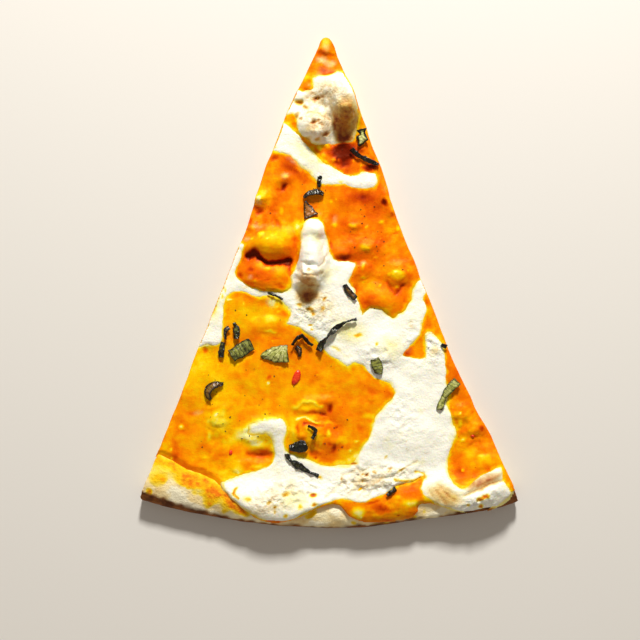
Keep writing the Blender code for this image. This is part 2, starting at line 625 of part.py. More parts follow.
def leaf(name, spine, widths, rolls, arch, lift, ground, material):
    """A thin wavy strip of leaf along its spine. Both faces have the same triangles."""
    stations = spine_stations(spine)
    count = len(stations)
    rows = []
    for i, centre in enumerate(stations):
        share = i / (count - 1)
        ahead = stations[min(i + 1, count - 1)] - stations[max(i - 1, 0)]
        across = Vector((-ahead.y, ahead.x, 0)).normalized()
        roll = math.radians(rolls[0] + (rolls[1] - rolls[0]) * share)
        half = width_at(widths, share) / 2
        sideways = across * math.cos(roll) + UP * math.sin(roll)
        outwards = UP * math.cos(roll) - across * math.sin(roll)
        wave = LEAF_WAVE * math.sin(LEAF_WAVE_TURN * i)
        section = [centre + sideways * half * k + outwards * arch * (1 - k * k) for k in (-1, 0, 1)]
        nearby = [p + ahead * step for p in section for step in (-0.3, 0, 0.3)]
        resting = max(ground(p.x, p.y) - p.z for p in nearby)
        up = UP * (resting + LEAF_CLEARANCE + LEAF_THICKNESS / 2 + lift + abs(wave))
        rows.append([(p + up, outwards * LEAF_THICKNESS / 2) for p in section])
    bm = bmesh.new()
    upper = [[bm.verts.new((p + n) * MM) for p, n in row] for row in rows]
    lower = [[bm.verts.new((p - n) * MM) for p, n in row] for row in rows]
    for i in range(count - 1):
        for k in range(2):
            for face in (upper, lower):
                a, b, c, d = face[i][k], face[i][k + 1], face[i + 1][k + 1], face[i + 1][k]
                bm.faces.new((a, b, c))
                bm.faces.new((a, c, d))
        for k in (0, 2):
            bm.faces.new((upper[i][k], upper[i + 1][k], lower[i + 1][k], lower[i][k]))
    for i in (0, count - 1):
        for k in range(2):
            bm.faces.new((upper[i][k], upper[i][k + 1], lower[i][k + 1], lower[i][k]))
    bmesh.ops.recalc_face_normals(bm, faces=bm.faces)
    return new_object(name, bm, material)


# ---- The slice ----


def main():
    for obj in list(bpy.data.objects):
        bpy.data.objects.remove(obj)
    dough = food_material("baked dough", (0.80, 0.61, 0.34), 0.85)
    sauce = food_material("vodka sauce", (0.89, 0.29, 0.01), 0.4)
    cheese = food_material("melted mozzarella", (0.93, 0.87, 0.62), 0.55)
    basil = food_material("basil", (0.13, 0.15, 0.04), 0.6)
    crust = build_crust(dough)
    toppings = build_toppings(sauce, cheese)
    fuse_flakes(toppings[0])
    ground = ground_under([crust, *toppings])
    for name, (spine, widths, rolls, arch, lift) in BASIL.items():
        leaf(name, spine, widths, rolls, arch, lift, ground, basil)


main()
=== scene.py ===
# %% [markdown]
# # A slice of vodka sauce pizza
#
# The solids in the frame already hold the slice's form: a thin dough with a low rim, a layer of sauce,
# three patches of melted cheese set into it, and shreds of basil. This lesson dresses them. Each solid is
# copied, given small even faces, worked over like clay, and painted with masks that its material reads.

# %% The frame, and the units
import math

import bpy
import numpy as np
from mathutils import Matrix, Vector
from mathutils.bvhtree import BVHTree
from mathutils.kdtree import KDTree


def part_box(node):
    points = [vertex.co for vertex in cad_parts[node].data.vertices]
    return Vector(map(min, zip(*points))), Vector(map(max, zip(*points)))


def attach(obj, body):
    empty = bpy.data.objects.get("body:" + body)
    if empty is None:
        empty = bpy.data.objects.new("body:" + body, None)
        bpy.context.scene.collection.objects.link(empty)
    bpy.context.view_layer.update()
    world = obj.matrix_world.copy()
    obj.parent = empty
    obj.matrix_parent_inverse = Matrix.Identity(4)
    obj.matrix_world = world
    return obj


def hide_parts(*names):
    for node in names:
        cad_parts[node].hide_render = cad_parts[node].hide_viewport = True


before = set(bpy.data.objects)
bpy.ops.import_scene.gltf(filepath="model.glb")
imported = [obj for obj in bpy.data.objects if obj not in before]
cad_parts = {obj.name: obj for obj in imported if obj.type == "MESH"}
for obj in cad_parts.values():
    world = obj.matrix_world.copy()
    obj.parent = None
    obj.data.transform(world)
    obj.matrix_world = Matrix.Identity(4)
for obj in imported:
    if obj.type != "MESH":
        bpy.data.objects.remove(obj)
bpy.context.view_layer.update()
MM = 0.001
CHEESES = ("mozzarella_tip", "mozzarella_band", "mozzarella_pool")
LEAVES = sorted(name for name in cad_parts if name.startswith("basil"))
print("nodes:", len(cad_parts), "of which leaves:", len(LEAVES))

# %% [markdown]
# ## Camera
#
# The slice is seen from straight above, with its tip pointing up, as one would hold a phone over a plate. A
# moderately long lens keeps the cut sides straight and still shows a little of the rim's outer wall.

# %% Camera
VIEW_CENTRE = Vector((-3.3, -16.9, 8)) * MM
VIEW_WIDTH = 297.7 * MM
VIEW_DISTANCE = 560 * MM

bpy.ops.object.camera_add(location=VIEW_CENTRE + Vector((0, 0, VIEW_DISTANCE)), rotation=(0, 0, 0))
camera = bpy.context.object
camera.name = "camera"
camera.data.lens = camera.data.sensor_width * VIEW_DISTANCE / VIEW_WIDTH
bpy.context.scene.camera = camera
print("lens:", round(camera.data.lens, 1), "mm")

# %% [markdown]
# ## Working with copies
#
# The solids of the frame stay as they are. A copy is merged, because its triangles come loose, and then
# voxel remeshed: that gives small even faces, which take fine relief that long thin triangles can't. The
# wide facets of the solid are then eased away by smoothing the upper side in height only, which keeps the
# outline.


# %% Copies with fine faces
def select_only(*pieces):
    bpy.ops.object.select_all(action="DESELECT")
    for piece in pieces:
        piece.select_set(True)
    bpy.context.view_layer.objects.active = pieces[0]


def merged_copy(name, *nodes):
    """One mesh of its own from copies of these solids, with their doubled points merged."""
    copies = []
    for node in nodes:
        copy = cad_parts[node].copy()
        copy.data = copy.data.copy()
        copy.parent = None
        for key in [key for key in copy.keys() if key.startswith("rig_")]:
            del copy[key]
        bpy.context.scene.collection.objects.link(copy)
        copies.append(copy)
    select_only(*copies)
    if len(copies) > 1:
        bpy.ops.object.join()
    piece = bpy.context.object
    piece.name = piece.data.name = name
    bpy.ops.object.mode_set(mode="EDIT")
    bpy.ops.mesh.select_all(action="SELECT")
    bpy.ops.mesh.remove_doubles(threshold=0.01 * MM)
    bpy.ops.mesh.normals_make_consistent(inside=False)
    bpy.ops.object.mode_set(mode="OBJECT")
    return piece


def duplicate(piece, name):
    select_only(piece)
    bpy.ops.object.duplicate()
    copy = bpy.context.object
    copy.name = copy.data.name = name
    return copy


def modify(piece, kind, **settings):
    """Adds a modifier with these settings and applies it."""
    select_only(piece)
    modifier = piece.modifiers.new(kind.lower(), kind)
    for key, value in settings.items():
        setattr(modifier, key, value)
    bpy.ops.object.modifier_apply(modifier=modifier.name)


def smooth(piece, times, chosen=None, **settings):
    """Smooths a piece this many times, all over or only at its chosen points."""
    if chosen is not None:
        group = piece.vertex_groups.new(name="chosen")
        group.add(np.flatnonzero(chosen).tolist(), 1, "REPLACE")
        settings["vertex_group"] = group.name
    modify(piece, "SMOOTH", factor=0.5, iterations=times, **settings)
    piece.vertex_groups.clear()


FACING_UP = 0.45


def fine_copy(name, nodes, cell, eased, swell=0.0):
    """A merged copy with faces of this size in millimetres. It is swollen first by this much, so that the
    clearance between joined solids closes, and its upper side is eased this many times."""
    piece = merged_copy(name, *nodes)
    if swell:
        modify(piece, "DISPLACE", strength=swell * MM, mid_level=0)
    modify(piece, "REMESH", mode="VOXEL", voxel_size=cell * MM, use_smooth_shade=True)
    smooth(piece, 2)
    smooth(piece, eased, normals_of(piece)[:, 2] > FACING_UP, use_x=False, use_y=False)
    print(name, "has", len(piece.data.vertices), "points")
    return piece


# %% [markdown]
# ## Clay tools
#
# Relief and paint are both laid on with a few brushes that work in plan, in millimetres: a dab is a soft
# ellipse, a stroke follows a line, a ripple is smooth unevenness, curds are rounded lumps of mixed size,
# and wrinkles are folds that run one way. A brush gives one number for each point, and that number either
# lifts the point or is stored as a mask.


# %% Reading and writing a mesh's points
def points_of(piece):
    flat = np.empty(len(piece.data.vertices) * 3)
    piece.data.vertices.foreach_get("co", flat)
    return flat.reshape(-1, 3) / MM


def normals_of(piece):
    flat = np.empty(len(piece.data.vertices) * 3)
    piece.data.vertices.foreach_get("normal", flat)
    return flat.reshape(-1, 3)


def put_points(piece, points):
    piece.data.vertices.foreach_set("co", (points * MM).ravel())
    piece.data.update()


def paint(piece, mask, values):
    layer = piece.data.attributes.get(mask) or piece.data.attributes.new(mask, "FLOAT", "POINT")
    layer.data.foreach_set("value", np.ascontiguousarray(values, dtype=np.float32))


def painted(piece, mask):
    values = np.empty(len(piece.data.vertices), dtype=np.float32)
    piece.data.attributes[mask].data.foreach_get("value", values)
    return values


# %% Brushes
# above 1, the middle of a dab is flat
SHOULDER = 1.15


def step(low, high, values):
    """0 at low and 1 at high, by a smooth S. Low may be the larger."""
    t = np.clip((values - low) / (high - low), 0, 1)
    return t * t * (3 - 2 * t)


def turned(points, x, y, turn):
    """Distances along and across a direction, seen from a place."""
    a = math.radians(turn)
    dx, dy = points[:, 0] - x, points[:, 1] - y
    return dx * math.cos(a) + dy * math.sin(a), -dx * math.sin(a) + dy * math.cos(a)


def dabs(points, table):
    """The sum of soft ellipses, each (x, y, half length, half width, turn, amount)."""
    total = np.zeros(len(points))
    for x, y, half_length, half_width, turn, amount in table:
        along, across = turned(points, x, y, turn)
        total += amount * step(0, 1, SHOULDER * (1 - np.hypot(along / half_length, across / half_width)))
    return total


def region(points, table):
    """The same ellipses as one mask from 0 to 1."""
    return np.clip(dabs(points, table), 0, 1)


def stroke(points, line, width):
    """1 along a line of points, falling smoothly to 0 at this distance."""
    nearest = np.full(len(points), 1e9)
    for (x0, y0), (x1, y1) in zip(line, line[1:]):
        dx, dy = x1 - x0, y1 - y0
        share = ((points[:, 0] - x0) * dx + (points[:, 1] - y0) * dy) / (dx * dx + dy * dy)
        share = np.clip(share, 0, 1)
        away = np.hypot(points[:, 0] - x0 - share * dx, points[:, 1] - y0 - share * dy)
        nearest = np.minimum(nearest, away)
    return step(width, 0, nearest)


# %% Ripples
CHANCE = np.random.default_rng(5)
CELLS = 64
LATTICE = CHANCE.uniform(-1, 1, (CELLS, CELLS, CELLS))
SCATTER = CHANCE.uniform(0, 1, (CELLS, CELLS, 4))
# each seed looks at another part of the lattice, which is turned so that it doesn't run along the cuts
SEED_SHIFT = np.array([5.37, 9.71, 3.13])
LATTICE_TURN = np.array([[0.8, 0.6, 0], [-0.6, 0.8, 0], [0, 0, 1]])


def ripple(points, size, seed=0):
    """Smooth unevenness from -1 to 1 whose bumps are about this size in millimetres."""
    place = (points / size + seed * SEED_SHIFT) @ LATTICE_TURN
    cell = np.floor(place).astype(int)
    part = place - cell
    part = part * part * (3 - 2 * part)
    total = np.zeros(len(points))
    for corner in np.ndindex(2, 2, 2):
        weight = np.prod(np.where(corner, part, 1 - part), axis=1)
        total += weight * LATTICE[tuple((cell + corner).T % CELLS)]
    return total


def ripples(points, *layers):
    """The sum of ripples, each (amount, size, seed)."""
    return sum(amount * ripple(points, size, seed) for amount, size, seed in layers)


# %% Curds and folds
CURD_SHIFT, CURD_JITTER, CURD_SHARE = 7.3, 0.7, 0.8
LEAST_CURD, MOST_CURD = 0.25, 0.65
FOLD_WANDER, FOLD_HALF_WIDTH, FAN_HALF_WIDTH = 0.9, 0.3, 0.32


def curds(points, size, seed=0):
    """Rounded lumps of mixed size, about this far apart: 0 between them and up to 1 on the largest."""
    place = points[:, :2] / size + seed * CURD_SHIFT
    cell = np.floor(place).astype(int)
    highest = np.zeros(len(points))
    for dx, dy in np.ndindex(3, 3):
        here = cell + (dx - 1, dy - 1)
        drawn = SCATTER[tuple(here.T % CELLS)]
        centre = here + 0.5 + CURD_JITTER * (drawn[:, :2] - 0.5)
        radius = LEAST_CURD + (MOST_CURD - LEAST_CURD) * drawn[:, 2]
        away = np.hypot(*(place - centre).T) / radius
        lump = np.sqrt(np.clip(1 - away**2, 0, 1)) * radius / MOST_CURD
        highest = np.maximum(highest, lump * (drawn[:, 3] < CURD_SHARE))
    return highest


def wrinkles(points, turn, length, width, seed=0):
    """Folds about this long and this far apart that run along a direction: 1 in the bottom of a fold."""
    along, across = turned(points, 0, 0, turn)
    across = across + FOLD_WANDER * width * ripple(points, 0.8 * length, seed + 1)
    flat = np.column_stack([along / length, across / width, np.full(len(points), 0.5)])
    broken = step(-0.7, 0.5, ripple(points, length, seed + 2))
    return step(FOLD_HALF_WIDTH, 0, np.abs(ripple(flat, 1, seed))) * broken


def fan_folds(points, x, y, length, spread, seed=0):
    """Folds that fan out from a pinched place: 1 in the bottom of a fold."""
    dx, dy = points[:, 0] - x, points[:, 1] - y
    away, around = np.hypot(dx, dy) / length, np.arctan2(dy, dx) * spread
    flat = np.column_stack([away, around, np.full(len(points), 0.5)])
    return step(FAN_HALF_WIDTH, 0, np.abs(ripple(flat, 1, seed)))


# %% [markdown]
# ## Where the cheese ends
#
# Melted cheese has no hard outline. The sauce creeps over its edge and stains it yellow, and its edge is
# ragged at every size. Relief and paint both need to know how far a point is from that edge, so the
# distance is measured once, from the solids: positive inside the cheese and negative outside it. Unevenness
# is then added to the distance itself, so that shape and colour stay ragged together.


# %% Distance to the shore
def tree_of(*nodes):
    corners, faces = [], []
    for node in nodes:
        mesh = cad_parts[node].data
        start = len(corners)
        corners += [vertex.co / MM for vertex in mesh.vertices]
        faces += [[start + i for i in polygon.vertices] for polygon in mesh.polygons]
    return BVHTree.FromPolygons(corners, faces)


HIGH, DOWN = 60, Vector((0, 0, -1))
cheese_tree = tree_of(*CHEESES)
whole_tree = tree_of("crust", "sauce", *CHEESES)


def height_on(tree, x, y):
    hit = tree.ray_cast(Vector((x, y, HIGH)), DOWN)[0]
    return hit.z if hit else None


SHORE_SPACING, LOOK_OUTSIDE = 0.5, 1.0
LEVEL_FACE, UPRIGHT_FACE = 0.5, 0.3


def shore_points(node):
    """Points along the upper edge of a cheese, except where a cut through the slice made that edge."""
    piece = merged_copy("shore_finder", node)
    found = []
    walls = {}
    for polygon in piece.data.polygons:
        for key in polygon.edge_keys:
            walls.setdefault(key, []).append(polygon.normal)
    for (a, b), normals in walls.items():
        wall = min(normals, key=lambda normal: abs(normal.z))
        if max(normal.z for normal in normals) < LEVEL_FACE or abs(wall.z) > UPRIGHT_FACE:
            continue
        start, end = (piece.data.vertices[i].co / MM for i in (a, b))
        middle = (start + end) / 2 + Vector((wall.x, wall.y, 0)).normalized() * LOOK_OUTSIDE
        if height_on(whole_tree, middle.x, middle.y) is None:
            continue
        steps = max(1, round((end - start).length / SHORE_SPACING))
        found += [start.lerp(end, i / steps) for i in range(steps)]
    bpy.data.objects.remove(piece)
    return found


shores = [shore_points(node) for node in CHEESES]
shore = [point for points in shores for point in points]
shore_owner = np.array([i for i, points in enumerate(shores) for _ in points])
shore_tree = KDTree(len(shore))
for i, point in enumerate(shore):
    shore_tree.insert((point.x, point.y, 0), i)
shore_tree.balance()
SHORE_REACH = 8.0
print("points along the shore:", len(shore))


def measure_shore(points):
    """The signed distance to the shore, kept within SHORE_REACH, and which cheese is nearest."""
    distance, owner = np.empty(len(points)), np.empty(len(points), int)
    for i, (x, y, _) in enumerate(points):
        _, nearest, away = shore_tree.find((x, y, 0))
        away = min(away, SHORE_REACH)
        distance[i] = away if height_on(cheese_tree, x, y) is not None else -away
        owner[i] = shore_owner[nearest]
    return distance, owner


# %% A ragged shore
# x, y, half length, half width, turn, and how toothed the shore is there
TOOTHED = [
    (28, -13, 22, 8, 0, 1.0), (24, -56, 12, 16, 0, 1.0), (30, 42, 8, 8, 0, 0.6), (0, -84, 20, 5, 0, 0.5),
    (-18, -16, 8, 10, 0, 0.5), (62, -74, 12, 18, 0, 0.6), (36, -30, 10, 10, 0, 0.6),
]
# the same, and how far the cheese reaches over the sauce there, in millimetres
GROWN = [
    (73, -107, 15, 5, 8, 3.2), (-40, -68, 8, 3, 10, -0.8), (-39.6, -69.6, 6, 4.4, 0, -2.6),
    (0, 98.6, 5, 3, 0, -1.8),
]


def ragged(points):
    """What is added to the distance to make the shore uneven, in millimetres."""
    uneven = dabs(points, GROWN) + ripples(points, (0.55, 4.2, 31), (0.3, 1.9, 32))
    return uneven + region(points, TOOTHED) * ripples(points, (0.8, 2.6, 33))


def loose(points):
    """The same places pushed about by up to a millimetre, so that brushed ellipses come out irregular."""
    moved = points.copy()
    for axis in (0, 1):
        moved[:, axis] += ripples(points, (1, 4, 41 + axis), (0.5, 1.7, 43 + axis))
    return moved


# %% [markdown]
# ## The topping's skin
#
# Sauce and cheese share one surface on the real slice, so they start here as one skin: the solids of both,
# swollen until the clearance between them closes. The relief that both share goes on before they part.

# %% Shared relief
skin = fine_copy("topping_skin", ("sauce", *CHEESES), cell=0.7, eased=24, swell=0.2)
skin_points = points_of(skin)
skin_up = step(0.1, 0.7, normals_of(skin)[:, 2])
skin_shore, skin_owner = measure_shore(skin_points)
skin_shore += ragged(skin_points)
skin_loose = loose(skin_points)

# the valley between the two lobes of the bubble
VALLEY = [(1.6, 82), (2.2, 76), (2.6, 70), (2.4, 65)]
VALLEY_DEPTH, VALLEY_WIDTH = 1.1, 2.4
# x, y, half length, half width, turn, rise
SHARED_DABS = [
    # the lump that sticks out below the arm of cheese, and the hollow beside it
    (-50, -60.5, 10, 8, -20, -1.7), (-31.5, -80, 6, 3.4, 5, -0.8), (-31, -68.5, 12, 7, 8, -1.8),
    (-5.5, -56, 10, 4, 6, -1.4), (72, -80.5, 8, 5, 14, -0.8), (32, 4.5, 7, 5.6, 0, -0.9),
    (-40, -86, 8, 4, 12, -0.8),
    # the left lobe of the bubble stays high to its end, and the right one starts falling early
    (-5, 69, 6, 4, 0, 1.6), (-4, 82, 5, 3, 0, -0.8), (8, 84, 8, 9, 0, -0.9),
    # the finger's blunt end
    (-9.4, 2.4, 6.6, 4.6, 0, 1.4), (-5, 25, 5, 4, 0, 0.9), (-8, 8.6, 7, 1.7, -12, -1.1),
    (-3, 17, 3, 6, 0, -0.6), (-13.6, -0.2, 3.8, 3.4, 0, 1.3), (-4.6, -0.6, 3.8, 3.4, 0, 1.1),
    (-9.2, -2.8, 4.4, 2.4, 0, 0.9),
    # where the arm of cheese thins out
    (-36, -72, 7, 3, 0, 0.5),
]
# the finger and the bubble
KNOBBLY = [(-8, 4, 9, 12, 0, 1.8), (-7, 18, 7, 10, 0, 0.8), (1, 82, 18, 18, 0, 1.2)]
skin_lift = dabs(skin_points, SHARED_DABS) - VALLEY_DEPTH * stroke(skin_points, VALLEY, VALLEY_WIDTH)
skin_lift += ripples(skin_points, (0.3, 9, 1), (0.2, 4.5, 2))
skin_lift += region(skin_points, KNOBBLY) * ripples(skin_points, (0.5, 3.4, 8), (0.3, 2, 9))
skin_points[:, 2] += skin_lift * skin_up
put_points(skin, skin_points)
paint(skin, "shore", skin_shore)
print("skin relief from", skin_lift.min().round(2), "to", skin_lift.max().round(2), "mm")

# %% [markdown]
# ## Sauce
#
# Under the cheese the sauce dips, so that the cheese lies in it. Elsewhere it is curdled: small lumps of
# cream and cheese stand up and are pale, and the hollows between them are deep red. One table holds both,
# so that what rises or sinks also changes colour: its tone goes from -1, deep red, through 0, orange, to 1,
# cream. Some of the table's low tones are painted shade and painted shadow, along the lower edges of lumps
# and steps and below the bubble and a shred of basil, and a few of its high tones are painted highlights.

# %% Sauce: places that rise or sink in the upper half
# x, y, half length, half width, turn, rise in millimetres, tone; the places marked below hold painted shade,
# painted shadow and painted highlights
SAUCE_TIP = [
    (-0.5, 112.5, 4, 3.4, 0, 0, 0.42), (-0.8, 108.9, 4, 3.2, 0, 0.4, 0.2),
    # painted shade below the bump at the tip: (-3.6, 107) and (1.5, 106)
    (-3.6, 107, 2.8, 2, -20, -0.5, -0.5), (1.5, 106, 5, 1.4, -5, -0.4, -0.32),
    (-2.5, 101, 3.8, 4.4, -30, 0.3, 0.1), (-2.8, 103.8, 2.4, 1.5, -20, 0.2, 0.3),
    (0.8, 103.2, 1.8, 1.1, 0, 0.2, 0.3), (2.2, 102, 2.2, 1.4, 20, 0.5, 0.3), (-4.5, 97, 2.7, 2.8, 0, 0, 0.1),
    (0, 98.4, 6, 2.4, 0, 0, -0.75), (-8.8, 95.3, 2.6, 2.1, 0, 0.3, 0.55),
    # (-8.8, 89.2) is painted shade along the lump's lower edge
    (-8.5, 90.8, 3.4, 1.7, 8, 0.9, -0.05), (-8.8, 89.2, 3.2, 1.1, 5, -0.5, -0.5),
    (10.7, 91, 1.5, 9, 22, 0, 0.35), (-17, 76, 3, 5, -20, 0, 0.22), (-15, 77.5, 1.5, 2.2, 0, -0.3, -0.6),
    (-14, 73, 1.7, 2.8, 20, -0.3, -0.35), (-3.6, 62.6, 2, 1.7, 0, 0.8, 0.8),
    (0.8, 63.4, 2, 1.4, -20, 0.7, 0.7), (2.9, 58.4, 2.1, 1.7, 20, 0.9, 0.85),
    (-1.8, 59.6, 1.6, 1.4, 0, 0.5, 0.4), (5.8, 58, 1.1, 1.1, 0, 0.5, 0.5), (12.2, 57, 1.1, 1.2, 0, 0.5, 0.7),
    (-1, 56.8, 1.2, 1, 0, 0.4, 0.45), (7.6, 53.6, 1, 1, 0, 0.4, 0.45), (15.6, 55, 1, 0.9, 0, 0.3, 0.5),
    # painted shadow: the bubble's at (8, 61.5) and (8.5, 54.5), and a shred's at (20, 54)
    (8, 61.5, 10.5, 8, 0, -0.6, -2.0), (20, 54, 4, 2.6, 0, 0, -1.5), (-6, 64.5, 2.8, 1.4, -30, -0.3, -0.4),
    (8.5, 54.5, 8, 4, -12, 0, -0.6), (14, 51, 3, 1.6, -20, 0, 0.2), (16.5, 62.3, 2.4, 1.9, 60, 0.8, -0.3),
    (21, 61, 1.7, 3.2, 25, 0.3, 0.35), (22.8, 57.6, 1.6, 2.2, 25, 0, 0.4), (18.5, 58.5, 2.6, 2, 0, 0, 0.3),
]
SAUCE_UPPER_LEFT = [
    (-24.3, 58.2, 3.4, 2, -8, -0.8, -0.9), (-28, 59.8, 2, 1.2, 0, -0.4, -0.5),
    (-17, 53, 10, 3, -30, 0, -0.22), (-11, 48, 4, 2.2, -35, 0, -0.25), (-13, 52, 4, 0.9, -40, 0.2, 0.3),
    (-19, 49.2, 2.2, 1.6, 0, 0.7, 0.7), (-20.2, 44.6, 1.8, 2.3, 10, -1.2, -0.95),
    (-22.5, 44, 3.2, 1.5, 0, -0.3, -0.4), (-31.3, 39.6, 1.8, 2.1, 0, 0.9, 0.85),
    # (-31.8, 33.8) is the painted shadow below the lump at (-31.3, 39.6)
    (-31, 41, 3.6, 3.6, 0, 0.3, 0.3), (-31.8, 33.8, 2.9, 2.2, 0, -1.4, -1.0),
    (-33, 35.5, 3.4, 1, 0, -0.4, -0.6), (-27, 37, 1.6, 2.1, 0, 0.3, 0.25), (-21, 34, 1.8, 2.4, 0, 0.4, 0.4),
    (-36.5, 28.8, 1.4, 2.2, -15, -0.7, -0.6), (-33, 28.5, 1.6, 1.5, 0, -0.4, -0.4),
    (-23.3, 28.6, 1.6, 2.4, 15, -0.7, -0.6), (-21.8, 27, 1.2, 1.4, 0, -0.4, -0.5),
    (-29, 26.5, 1.8, 1.4, 30, 0.2, -0.2), (-34.5, 26.4, 1.8, 1.6, 0, 0.5, 0.5),
    (-31.3, 23, 2, 1.7, 60, 0.7, 0.7), (-38, 24.2, 1.1, 1, 0, 0.4, 0.8), (-24, 23.2, 1.1, 1, 0, 0.3, 0.5),
    (-28, 20.6, 1, 1, 0, 0.3, 0.5), (-35.6, 20.4, 1.1, 1.1, 0, 0.3, 0.6), (-26.5, 19, 11, 7, 0, 0.8, 0.42),
    (-20, 23, 6, 6, 0, 0.4, 0.2), (-14, 27, 3.2, 4.2, -20, 0, 0.5), (-15, 20, 1.9, 2.8, 0, -0.3, -0.4),
    (-14.6, 17, 1.6, 2.2, 20, -0.3, -0.35), (-29, 4, 13, 6, -5, 0.6, -0.14),
    (-35.4, 6.6, 2.1, 1.7, 0, -0.3, -0.5), (-40.6, 3.4, 1.8, 2.2, 0, -0.3, -0.55),
    (-36, 0, 5.4, 1.4, -25, -0.2, -0.4), (-22, 5, 4.2, 3, 0, 0.6, 0.22), (-28, 7.4, 2.4, 1.8, 0, 0.4, 0.4),
    (-33.4, 1.6, 1.1, 1, 0, 0.3, 0.45), (-31.5, 8.5, 3.2, 1.6, -25, 0.2, 0.2),
    # painted shade along the lobe's lower edge: (-21.5, -1.4), (-32, 3.2) and (-26, 1.6)
    (-21.5, -1.4, 3.4, 1.7, 0, -0.3, -0.55), (-32, 3.2, 3.2, 0.7, -10, -0.4, -0.35),
    (-26, 1.6, 4.2, 0.7, -8, -0.4, -0.35), (-37, 17, 4, 6, -20, 0, 0.15),
]
SAUCE_UPPER_RIGHT = [
    # painted shade below the band of cheese: (19, 39) and (17, 40.5); painted shadow below lumps: (27, 38)
    # and (30.5, 32)
    (19, 39, 10, 4.2, -20, 0, -0.24), (17, 40.5, 3.2, 1.8, -20, -0.3, -0.25),
    (27, 38, 1.8, 1.9, 0, -1.0, -0.85), (30.5, 32, 1.8, 2.3, 0, -0.5, -0.5), (29.3, 38, 1.8, 7.4, 20, 0, 0.4),
    (12.2, 27, 2.6, 1.8, 10, 0.8, 0.5), (18.3, 16.6, 3.9, 2.4, 10, 0.9, 0.55),
    (32.5, 4.6, 4.8, 3.4, 0, 1.1, 0.5), (32.2, 6, 1.8, 1.1, 0, 0.3, 0.55), (28.6, 4, 1.2, 1.1, 0, 0.3, 0.5),
    (32.6, -1.4, 1.8, 1.2, 0, 0.3, 0.7), (3.5, 27, 1.7, 1.9, 0, 0.8, 0.6),
    (25.4, 28.8, 1.7, 1.5, 0, 0.6, 0.6), (18, 26.4, 1.5, 1.2, 0, 0.5, 0.5), (1.5, 38, 1.3, 1.5, 0, 0.4, 0.45),
    (33.4, 25.5, 1.4, 1.8, 0, 0.4, 0.55), (17, 8, 1.4, 2.2, 0, 0.8, 0.7), (17, 3, 1.4, 1.2, 0, 0.4, 0.55),
    (24.5, -1.5, 1.3, 1.2, 0, 0.4, 0.55), (22.5, 12, 1.6, 1.3, 0, 0.4, 0.5),
    # (7.5, 12.2) is the painted shadow below the sauce's step down to the cheese
    (7.5, 12.2, 5.2, 2.1, 0, -1.0, -0.85), (2, 18, 1.5, 2.6, 0, -0.5, -0.6),
    (13.5, -3, 3, 3.4, 0, -0.5, -0.45), (12.5, 22.5, 2.8, 0.8, 0, -0.3, -0.35),
    (18, 21, 2.2, 0.7, 10, -0.3, -0.3), (31, 23.5, 4.4, 0.9, 15, -0.3, -0.4),
    (17.5, 2, 2.8, 0.8, 35, -0.3, -0.35), (18.5, -9, 2.9, 2.2, 0, 0, -0.35), (39, 6.5, 3.2, 4.2, 0, 0, 0.35),
    (47.5, -14, 2.8, 10, 20, 0, 0.25), (46, -8.5, 1.8, 2.6, 0, 0, -0.45), (10, 33, 8, 5, 0, 0, 0.1),
    (24, 12, 8, 5, 0, 0.2, -0.05), (36, 14, 3, 7, 20, 0, 0.12), (8, 5, 3, 4, 0, 0.3, 0.1),
    (22, 22, 5, 3, 0, 0.2, 0.08), (12, 12, 2, 3, 0, 0.2, 0.15),
]

